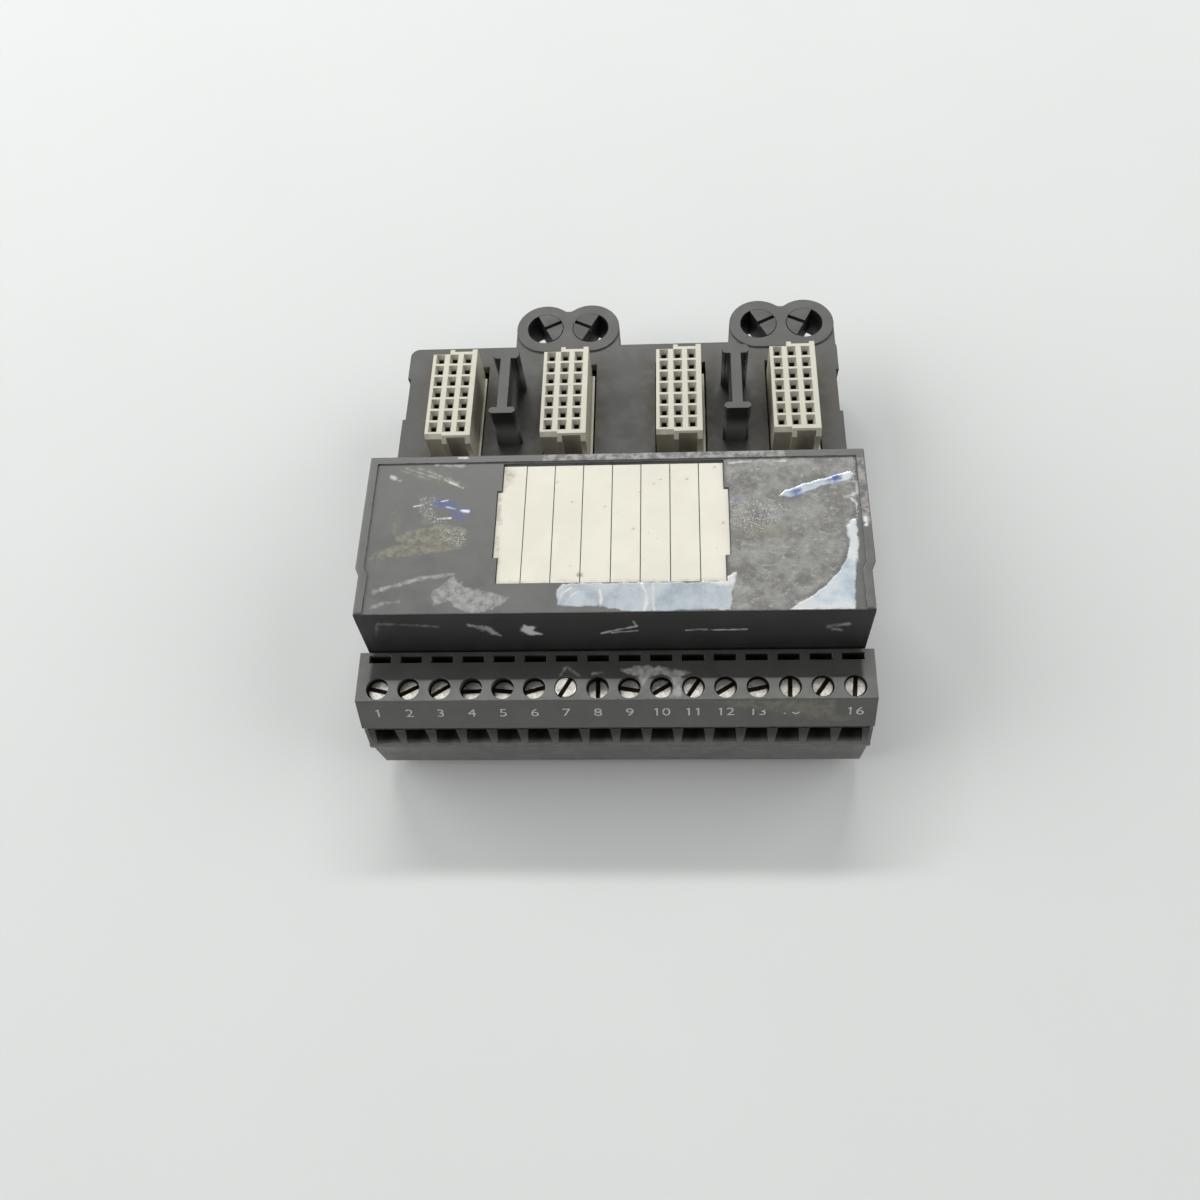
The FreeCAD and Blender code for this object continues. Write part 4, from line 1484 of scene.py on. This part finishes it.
@dataclass
class LabelCard:
    """Eight card labels side by side in the cover's recess."""

    lines: tuple[float, ...] = (-14.6, -9.85, -5.1, -0.25, 4.5, 9.3, 14.05)
    gap: float = 0.17
    thickness: float = 0.3
    bow: float = 0.04
    bow_turn: float = 2.4
    bow_sink: float = 0.9

    def marks(self) -> tuple[Mark, ...]:
        """Stains and specks on the card, measured from its rear edge.

        Returns:
            The marks.
        """
        glue, ink = Layer.GLUE, Layer.INK
        specks = ((-5.3, -20.5), (-9.5, -3.2), (-6.8, -7), (-1.5, -8), (6.6, -3.8), (7.7, -3),
            (12.1, -3), (16.7, -0.8), (3.3, -12.3), (17.8, -11.4))
        dots = tuple(
            Mark(ink, ((x, y), (x + 0.1, y)), width=0.25, soft=0.2, ragged=0.1, strength=0.8)
            for x, y in specks)
        return dots + (
            Mark(ink, ((-5.3, -20.5), (-5, -20.6)), width=0.6, soft=0.3, ragged=0.3),
            Mark(glue, ((-18.4, -0.2), (-16.5, -1.3), (-17.1, -3.3), (-18.4, -4.4)), soft=0.5,
                strength=0.6),
            Mark(glue, ((-18.9, -5.4), (-18.8, -13.5), (-18.5, -18.1)), width=0.5, soft=0.4,
                ragged=0.5, strength=0.55),
            Mark(glue, ((-18.2, -21.6), (17.8, -21.6)), width=0.25, soft=0.25, ragged=0.5,
                strength=0.3),
        )

    def curl(self, strip: int, length: float, at: np.ndarray, _: Painted) -> np.ndarray:
        """Slight bow along a strip, different on each.

        Args:
            strip: Number of the strip, from zero.
            length: Length of the strip.
            at: Points of the strip, measured from its rear end.
            _: The marks on them, which change nothing here.

        Returns:
            The height of each point.
        """
        lean = math.cos(self.bow_turn * strip) * (1 + at[:, 1] / length - 0.5)
        return self.bow * (lean + 0.4 * wobble(at, 0.08, 20 + strip)) - self.bow * self.bow_sink

    def build(self) -> None:
        """Lay the labels as one piece of eight strips."""
        low, high = station("label_card")
        near = low.y + TAB_NEAR
        tab = (near - high.y, near + TAB_LENGTH - high.y)
        edges = (low.x + TAB_WIDTH, *self.lines, high.x - TAB_WIDTH)
        last = len(self.lines)
        work = bmesh.new()
        for k, (start, end) in enumerate(zip(edges, edges[1:])):
            left = start + (self.gap / 2 if k else 0)
            right = end - (self.gap / 2 if k < last else 0)
            rects = [Rect(left, right, low.y - high.y, 0.0)]
            if k == 0:
                rects.append(Rect(low.x, left, *tab))
            if k == last:
                rects.append(Rect(right, high.x, *tab))
            strip = PaintedSheet(
                "label_strip", Facet((0.0, high.y, high.z)), tuple(rects), self.marks(), step=0.25,
                lift=0.0, thickness=self.thickness, relief=partial(self.curl, k, high.y - low.y))
            absorb(work, strip.mesh())
        add_piece("labels", settle(work, "label_strips"), [CARD], "block", ["label_card"])


@dataclass
class ClampScrew:
    """Slotted headless screw: one mesh for all poles, its top at the origin."""

    radius: float = 1.68
    length: float = 6.86
    slot_width: float = 0.74
    slot_depth: float = 0.8
    chamfer: float = 0.16
    pitch: float = 0.5
    thread_depth: float = 0.24
    shank: float = 1.5
    tip: float = 0.3
    tip_edge: float = 0.05
    arc_steps: int = 18
    turn_steps: int = 4

    def rim(self, radius: float, z: float) -> list[Vector]:
        """Points round the screw, with a point at each corner of the slot.

        Args:
            radius: Distance of the points from the axis.
            z: Their level.

        Returns:
            The points in order.
        """
        corner = math.asin(self.slot_width / 2 / self.radius)
        stops = []
        for turn in (0.0, math.pi):
            for k in range(self.arc_steps + 1):
                stops.append(turn + corner + (math.pi - 2 * corner) * k / self.arc_steps)
            stops.append(turn + math.pi)
        return [Vector((radius * math.cos(a), radius * math.sin(a), z)) for a in stops]

    def wall_radius(self, angle: float, z: float) -> float:
        """Radius of the thread, of the plain part above it or of the tip.

        Args:
            angle: Where round the axis.
            z: At which level.

        Returns:
            The radius there.
        """
        if z > -self.shank or z < -self.length + self.tip:
            return self.radius - (self.tip if z < -self.length + self.tip_edge else 0.0)
        wave = (z / self.pitch - angle / (2 * math.pi)) % 1.0
        return self.radius - self.thread_depth * abs(2 * wave - 1)

    def half_head(
            self, work: Work, foot: Ring, first: int, sign: int) -> bmesh.types.BMFace:
        """Build the head on one side of the slot.

        Args:
            work: Mesh that the head goes into.
            foot: Points at its foot.
            first: Number of the first of them round the screw.
            sign: One on the side where Y is positive, minus one on the other.

        Returns:
            The head's face towards the slot.
        """
        upper = self.radius - self.chamfer
        edge = self.slot_width / 2
        reach = math.sqrt(upper ** 2 - edge ** 2)
        side = self.rim(self.radius, -self.chamfer)[first:first + len(foot)]
        top = self.rim(upper, 0.0)[first:first + len(foot)]
        top[0] = Vector((sign * reach, sign * edge, 0.0))
        top[-1] = Vector((-sign * reach, sign * edge, 0.0))
        shoulder = [work.verts.new(p) for p in side]
        crown = [work.verts.new(p) for p in top]
        for k in range(len(foot) - 1):
            n = k + 1
            work.faces.new((foot[k], foot[n], shoulder[n], shoulder[k])).smooth = True
            work.faces.new((shoulder[k], shoulder[n], crown[n], crown[k]))
        work.faces.new(crown)
        return work.faces.new((foot[0], shoulder[0], crown[0], crown[-1], shoulder[-1], foot[-1]))

    def mesh(self) -> Mesh:
        """Close two half heads beside the slot over a threaded shank.

        Returns:
            The new mesh.
        """
        work = bmesh.new()
        threaded = self.length - self.shank - self.tip
        steps = round(threaded / (self.pitch / self.turn_steps))
        levels = [-self.slot_depth, -self.shank]
        levels += [-self.shank - (k + 1) * threaded / steps for k in range(steps)]
        rings = []
        for z in (*levels, -self.length):
            ring = []
            for p in self.rim(1.0, z):
                r = self.wall_radius(math.atan2(p.y, p.x), z)
                ring.append(work.verts.new((p.x * r, p.y * r, z)))
            rings.append(ring)
        bridge(work, rings[::-1], smooth=True)
        work.faces.new(rings[-1][::-1])
        base = rings[0]
        count = self.arc_steps + 1
        floor = (count - 1, count, count + 1, 2 * count, 2 * count + 1, 0)
        dirty = [work.faces.new([base[k] for k in floor])]
        for first, sign in ((0, 1), (count + 1, -1)):
            dirty.append(self.half_head(work, base[first:first + count], first, sign))
        for face in dirty:
            face.material_index = 1
        return finish_in_metres(work, "clamp_screw")


@dataclass
class TerminalStrip:
    """Sixteen-pole strip with its screws, clamps, guards and numbers."""

    body: str = "block"
    slot: str = "strip"
    strip_round: float = 0.06
    end_inset: float = 0.5
    face_back: float = 1.46
    face_span: Point = (0.25, 5.8)
    shoulder_drop: float = 0.35
    screw_inset: float = 6.11
    bore_radius: float = 1.82
    bore_gap: float = 0.2
    residue: Rect = Rect(-9.5, 13.0, -8.0, -2.0)
    sheet_lift: float = 0.012
    number_height: float = 1.55
    number_stretch: float = 1.3056
    number_level: float = 3.36
    number_offset: float = -0.006
    number_thickness: float = 0.01
    number_raise: float = 1.5
    number_lift: float = 0.03
    worn_off: tuple[int, ...] = (14, 15)
    half_worn: int = 13
    worn_height: float = 0.42
    worn_slope: float = 0.12
    flagged: tuple[int, ...] = (1, 10, 11, 12, 16)
    flag: Stretch = ((0.1, -0.08), (-0.24, -0.3))
    stroke: float = 0.2
    stroke_span: Point = (0.01, 0.045)
    traces: tuple[Stretch, ...] = (
        ((26.95, 2.9), (27.2, 2.93)),
        ((28.23, 3.15), (28.78, 2.76)),
        ((28.78, 2.76), (29.35, 3.14)),
    )
    slot_angles: tuple[float, ...] = (
        167, 27, 32, 2, 174, 16, 60, 91, 171, 31, 56, 31, 12, 87, 54, 83)

    def pole_x(self, pole: int) -> float:
        """Place of a pole along the strip, counted from one."""
        return (pole - (POLES + 1) / 2) * POLE_PITCH

    def number_facet(self) -> Facet:
        """Find the sloping face below the screws.

        Returns:
            The face.
        """
        low, high = station("terminal_strip")
        return Facet(
            (0.0, low.y + self.face_back, high.z - FACE_DROP),
            (0.0, SHOULDER_BACK - self.face_back, FACE_DROP - self.shoulder_drop))

    def face_marks(self) -> tuple[Mark, ...]:
        """Smears of glue over the numbers at the right end.

        Returns:
            The marks.
        """
        glue = Layer.GLUE
        return (
            Mark(glue, ((18.4, 5.3), (22.9, 5.7), (34.6, 5.6), (34.9, 2.7), (33.7, 1.7), (29, 2.3),
                (22.9, 4), (18.4, 4.4)), soft=0.5, ragged=0.5, strength=0.55),
            Mark(glue, ((32, 2.7), (35, 2.5), (38.1, 1.7), (36.3, 1.2), (32.8, 1.7)), soft=0.4,
                strength=0.35),
            Mark(glue, ((14.3, 5.6), (19.2, 5.6), (19.2, 4.8), (17, 5)), soft=0.4, strength=0.4),
        )

    def top_marks(self) -> tuple[Mark, ...]:
        """Pale residue between the screw bores.

        Returns:
            The marks.
        """
        scuff = Layer.SCUFF
        return (
            Mark(scuff, ((0.8, -3.4), (3.5, -2.6), (8.3, -3), (12.4, -3.8), (11, -4.5),
                (10.9, -7.9), (8.7, -7.9), (9.6, -6.1), (9.2, -4.7), (5.9, -4.1), (4.3, -6.1),
                (2.6, -4)), soft=0.25, strength=0.7),
            Mark(scuff, ((-8.5, -4), (-7.5, -2.7), (-5.6, -4.1)), width=0.25, strength=0.7),
            Mark(scuff, ((-3.2, -3.8), (-1.8, -3.8)), width=0.25, strength=0.7),
        )

    def trace(self, work: Work, facet: Facet, start: Point, end: Point) -> None:
        """Add a short flat bar of paint.

        Args:
            work: Mesh that the bar goes into.
            facet: Face that it lies on.
            start: One end in the face's own plane.
            end: The other end.
        """
        run = np.array(end) - np.array(start)
        aside = np.array((-run[1], run[0])) / np.linalg.norm(run) * self.stroke / 2
        plan = np.array([start - aside, end - aside, end + aside, start + aside])
        low, high = (
            [work.verts.new(p) for p in facet.lay(plan, np.full(len(plan), lift)) * MM]
            for lift in self.stroke_span)
        work.faces.new(high)
        work.faces.new(low[::-1])
        bridge(work, (low, high))

    def figures(self, pole: int) -> Work:
        """Flat figures of one pole in their printed size, round their own middle.

        Args:
            pole: The number to print.

        Returns:
            A working mesh in millimetres.
        """
        curve = bpy.data.curves.new("number", "FONT")
        curve.body = str(pole)
        curve.align_x = "CENTER"
        curve.extrude = self.number_thickness
        curve.resolution_u = 4
        curve.offset = self.number_offset
        holder = bpy.data.objects.new("number", curve)
        bpy.context.scene.collection.objects.link(holder)
        bpy.context.view_layer.update()
        printed = bpy.data.meshes.new_from_object(holder)
        bpy.data.objects.remove(holder)
        bpy.data.curves.remove(curve)
        work = bmesh.new()
        absorb(work, printed)
        scale = self.number_height / max(v.co.y for v in work.verts)
        for v in work.verts:
            x, y, z = v.co
            y = y * scale - self.number_height / 2
            v.co = Vector((x * scale * self.number_stretch, y, z * self.number_raise))
        return work

    def numbers(self) -> Mesh:
        """Print the numbers of the poles, worn away at the right end.

        Returns:
            The new mesh.
        """
        facet = self.number_facet()
        up = Vector(facet.along).normalized()
        out = facet.normal()
        top = self.number_level + self.number_height / 2
        work = bmesh.new()
        stem = 0.0
        for pole in range(1, POLES + 1):
            if pole in self.worn_off:
                continue
            middle = self.pole_x(pole)
            single = self.figures(pole)
            spread = [v.co.x for v in single.verts]
            stem = stem or max(spread) - min(spread)
            stems = [min(spread)] if pole in self.flagged else []
            stems += [max(spread) - stem] if str(pole)[1:] == "1" else []
            for x in stems:
                self.trace(work, facet, *((middle + x + a, top + b) for a, b in self.flag))
            if pole == self.half_worn:
                everything = single.verts[:] + single.edges[:] + single.faces[:]
                cut = bmesh.ops.bisect_plane(
                    single, geom=everything, plane_co=(0, self.worn_height, 0),
                    plane_no=(self.worn_slope, 1, 0), clear_outer=True)["geom_cut"]
                rim = [e for e in cut if isinstance(e, bmesh.types.BMEdge)]
                bmesh.ops.holes_fill(single, edges=rim)
            for v in single.verts:
                rise, lift = self.number_level + v.co.y, self.number_lift + v.co.z
                place = Vector(facet.origin) + up * rise + out * lift
                v.co = (place + Vector((middle + v.co.x, 0, 0))) * MM
            absorb(work, settle(single, "number"))
        for start, end in self.traces:
            self.trace(work, facet, start, end)
        return settle(work, "pole_numbers")

    def build(self) -> None:
        """Build the strip, its sheets and numbers, and the screws with what they clamp."""
        low, high = station("terminal_strip")
        shell = bevelled("terminal_strip", self.strip_round)
        add_piece("strip", shell, [STRIP], self.body, ["terminal_strip"], True)
        half = high.x - self.end_inset
        face = PaintedSheet(
            "strip_face", self.number_facet(), (Rect(-half, half, *self.face_span),),
            self.face_marks(), step=0.2, lift=self.sheet_lift)
        poles = range(1, POLES + 1)
        radius = self.bore_radius + self.bore_gap
        bores = tuple(Disc(self.pole_x(p), -self.screw_inset, radius) for p in poles)
        slope = (0.0, high.y - low.y - SHOULDER_BACK, self.shoulder_drop)
        top = PaintedSheet(
            "strip_residue", Facet((0.0, high.y, high.z), slope), (self.residue,),
            self.top_marks(), exclude=bores, lift=self.sheet_lift)
        for sheet in (face, top):
            add_piece(sheet.name, sheet.mesh(), [STAINED_STRIP], self.body)
        add_piece("pole_numbers", self.numbers(), [NUMBER_PAINT], self.body)
        self.fit_screws(high.y - self.screw_inset)
        dress_node("clamp_bodies", BRASS)

    def fit_screws(self, axis: float) -> None:
        """Put a screw into every pole, turned as it was found, and dress its guard.

        Args:
            axis: Where the screws' axes lie along Y.
        """
        screw = ClampScrew().mesh()
        for pole, angle in enumerate(self.slot_angles, 1):
            node, body = f"clamp_screw_{pole:02d}", f"screw_{pole:02d}"
            _, crown = station(node)
            piece = add_piece(body, screw, [NICKEL, SLOT_DIRT], body, [node])
            place = Matrix.Translation(Vector((self.pole_x(pole), axis, crown.z)) * MM)
            piece.matrix_world = place @ Matrix.Rotation(math.radians(angle), 4, "Z")
            dress_node(f"wire_guard_{pole:02d}", NICKEL)


@dataclass
class CardSockets:
    """Four ivory sockets with their spring contacts."""

    sockets: int = 4
    columns: int = 3
    rows: int = 7
    socket_round: float = 0.03
    leaf_thickness: float = 0.12
    leaf_half: float = 0.28
    leaf_top: float = 2.6
    leaf_length: float = 5.0
    leaf_bends: tuple[Point, ...] = ((0.0, 0.34), (0.35, 0.16), (0.6, 0.34), (1.0, 0.34))
    grid_left: float = 3.95
    grid_front: float = 10.6
    hole: float = 0.47
    funnel: float = 0.82
    mouth: float = 1.05
    brink: float = 0.1
    # Share on the funnel walls, which carry dirt; faces deeper in the holes take the full painted
    # shade.
    dirt: float = 0.6

    def leaf(self, work: Work, at: Spot, side: int) -> None:
        """Add one bent leaf of a contact.

        Args:
            work: Mesh that the leaf goes into.
            at: Middle of the hole at the leaf's top.
            side: One for the leaf on the right, minus one for the left one.
        """
        x, y, z = at
        rings = []
        for share, bend in self.leaf_bends:
            inner = side * (bend - self.leaf_thickness / 2)
            outer = side * (bend + self.leaf_thickness / 2)
            level = z - share * self.leaf_length
            corners = ((inner, -1), (outer, -1), (outer, 1), (inner, 1))
            rings.append(
                [work.verts.new((x + a, y + b * self.leaf_half, level)) for a, b in corners])
        bridge(work, rings)
        work.faces.new(rings[0])
        work.faces.new(rings[-1][::-1])

    def contacts(self, x: float, y: float, top: float) -> Mesh:
        """Pairs of bent leaves in the holes of one socket.

        Args:
            x: Middle of the pin grid.
            y: Middle of the pin grid.
            top: Level of the socket's face.

        Returns:
            Mesh of all the leaves.
        """
        work = bmesh.new()
        for column in range(self.columns):
            for row in range(self.rows):
                across = x + (column - (self.columns - 1) / 2) * PIN_PITCH
                along = y + (row - (self.rows - 1) / 2) * PIN_PITCH
                for side in (-1, 1):
                    self.leaf(work, (across, along, top - self.leaf_top), side)
        return finish_in_metres(work, "contacts")

    def soil(self, shell: Mesh, x: float, y: float, top: float) -> None:
        """Give the faces in the pin holes the number deep: a share on the funnel walls for dirt,
        all of it deeper down for painted shade.

        Args:
            shell: Mesh of the socket.
            x: Middle of the pin grid.
            y: Middle of the pin grid.
            top: Level of the socket's face.
        """
        deep = shell.attributes.new("deep", "FLOAT", "FACE").data
        for face in shell.polygons:
            cx, cy, cz = face.center / MM
            column, row = round((cx - x) / PIN_PITCH), round((cy - y) / PIN_PITCH)
            off = max(abs(cx - x - column * PIN_PITCH), abs(cy - y - row * PIN_PITCH))
            inside = abs(column) <= self.columns // 2 and abs(row) <= self.rows // 2
            if not inside or off >= self.mouth or cz >= top - self.brink:
                continue
            sunk = off < self.hole and cz < top - self.funnel
            deep[face.index].value = 1.0 if sunk else self.dirt

    def build(self) -> None:
        """Build the sockets and put the contacts into their holes."""
        for k in range(1, self.sockets + 1):
            node = f"card_socket_{k}"
            low, high = station(node)
            x, y = low.x + self.grid_left, low.y + self.grid_front
            shell = bevelled(node, self.socket_round)
            self.soil(shell, x, y, high.z)
            add_piece(f"socket_{k}", shell, [IVORY], "block", [node], True)
            add_piece(f"contacts_{k}", self.contacts(x, y, high.z), [TIN], "block")


@dataclass
class CodingKeys:
    """Half-round coding keys in the bosses."""

    keys: int = 4
    key_round: float = 0.08

    def build(self) -> None:
        """Round the keys' edges and let each ride on its own body."""
        for k in range(1, self.keys + 1):
            node = f"key_{k}"
            mesh = bevelled(node, self.key_round)
            add_piece(f"coding_key_{k}", mesh, [KEY], node, [node], True)


@dataclass(frozen=True)
class Lamp:
    """Rectangular soft lamp: where it stands, its size in metres and the radiance of its face."""

    name: str
    direction: Spot
    size: Point
    radiance: float
    colour: Colour = (1.0, 1.0, 0.99)
    distance: float = 1.0

    def build(self) -> None:
        """Hang the lamp so that it faces the object."""
        data = bpy.data.lights.new(self.name, "AREA")
        data.shape = "RECTANGLE"
        data.size, data.size_y = self.size
        data.energy = self.radiance * math.pi * self.size[0] * self.size[1]
        data.color = self.colour
        away = Vector(self.direction).normalized()
        turn = away.to_track_quat("Z", "Y").to_matrix().to_4x4()
        holder = bpy.data.objects.new(self.name, data)
        holder.matrix_world = Matrix.Translation(away * self.distance) @ turn
        bpy.context.scene.collection.objects.link(holder)


@dataclass
class Studio:
    """Camera, lamps and floor."""

    eye: Spot = (10.69, -91.76, 170.64)
    right: Spot = (0.9986, 0.0118, -0.0525)
    forward: Spot = (-0.0524, 0.4321, -0.9003)
    lens: float = 29.652
    sensor: float = 36.0
    shift: Point = (-0.0231, -0.0076)
    clip: float = 0.01
    lamps: tuple[Lamp, ...] = (
        Lamp("tube", (-0.06, 0.68, 0.73), (0.7, 0.06), 39.0),
        Lamp("left_box", (-0.86, 0.1, 0.5), SOFT_BOX, 2.7),
        Lamp("right_box", (0.86, 0.1, 0.5), SOFT_BOX, 1.9),
        Lamp("front_box", (0.0, -0.87, 0.5), SOFT_BOX, 0.4),
    )
    world_colour: Colour = (0.985, 0.995, 1.0)
    world_strength: float = 0.06
    floor_size: float = 4.0

    def camera(self) -> None:
        """Camera at the photograph's place."""
        data = bpy.data.cameras.new("camera")
        data.lens = self.lens
        data.sensor_width = self.sensor
        data.shift_x, data.shift_y = self.shift
        data.clip_start = self.clip
        holder = bpy.data.objects.new("camera", data)
        forward = Vector(self.forward).normalized()
        right = Vector(self.right)
        right = (right - forward * right.dot(forward)).normalized()
        up = right.cross(forward)
        turn = Matrix((right, up, -forward)).transposed().to_4x4()
        holder.matrix_world = Matrix.Translation(Vector(self.eye) * MM) @ turn
        bpy.context.scene.collection.objects.link(holder)
        bpy.context.scene.camera = holder

    def world(self) -> None:
        """Dim even light from all round."""
        world = bpy.data.worlds.new("world")
        world.use_nodes = True
        sky = world.node_tree.nodes["Background"]
        sky.inputs["Color"].default_value = rgba(self.world_colour)
        sky.inputs["Strength"].default_value = self.world_strength
        bpy.context.scene.world = world

    def floor(self) -> None:
        """Pale floor under the object."""
        half = self.floor_size / 2
        corners = [(-half, -half, 0), (half, -half, 0), (half, half, 0), (-half, half, 0)]
        data = bpy.data.meshes.new("floor")
        data.from_pydata(corners, [], [(0, 1, 2, 3)])
        data.materials.append(FLOOR.material())
        ground = bpy.data.objects.new("floor", data)
        bpy.context.scene.collection.objects.link(ground)

    def build(self) -> None:
        """Set the stage: a long tube above and behind, soft boxes at the sides and in front."""
        self.camera()
        for lamp in self.lamps:
            lamp.build()
        self.world()
        self.floor()
        bpy.context.scene.view_settings.view_transform = "Standard"


def main() -> None:
    """Build the sub-assemblies in order."""
    logging.basicConfig(level=logging.INFO, format="%(name)s %(message)s")
    Studio().build()
    Housing().build()
    LabelCard().build()
    TerminalStrip().build()
    CardSockets().build()
    CodingKeys().build()
    dress_node("circuit_board", RESIN)


if __name__ == "__main__":
    main()
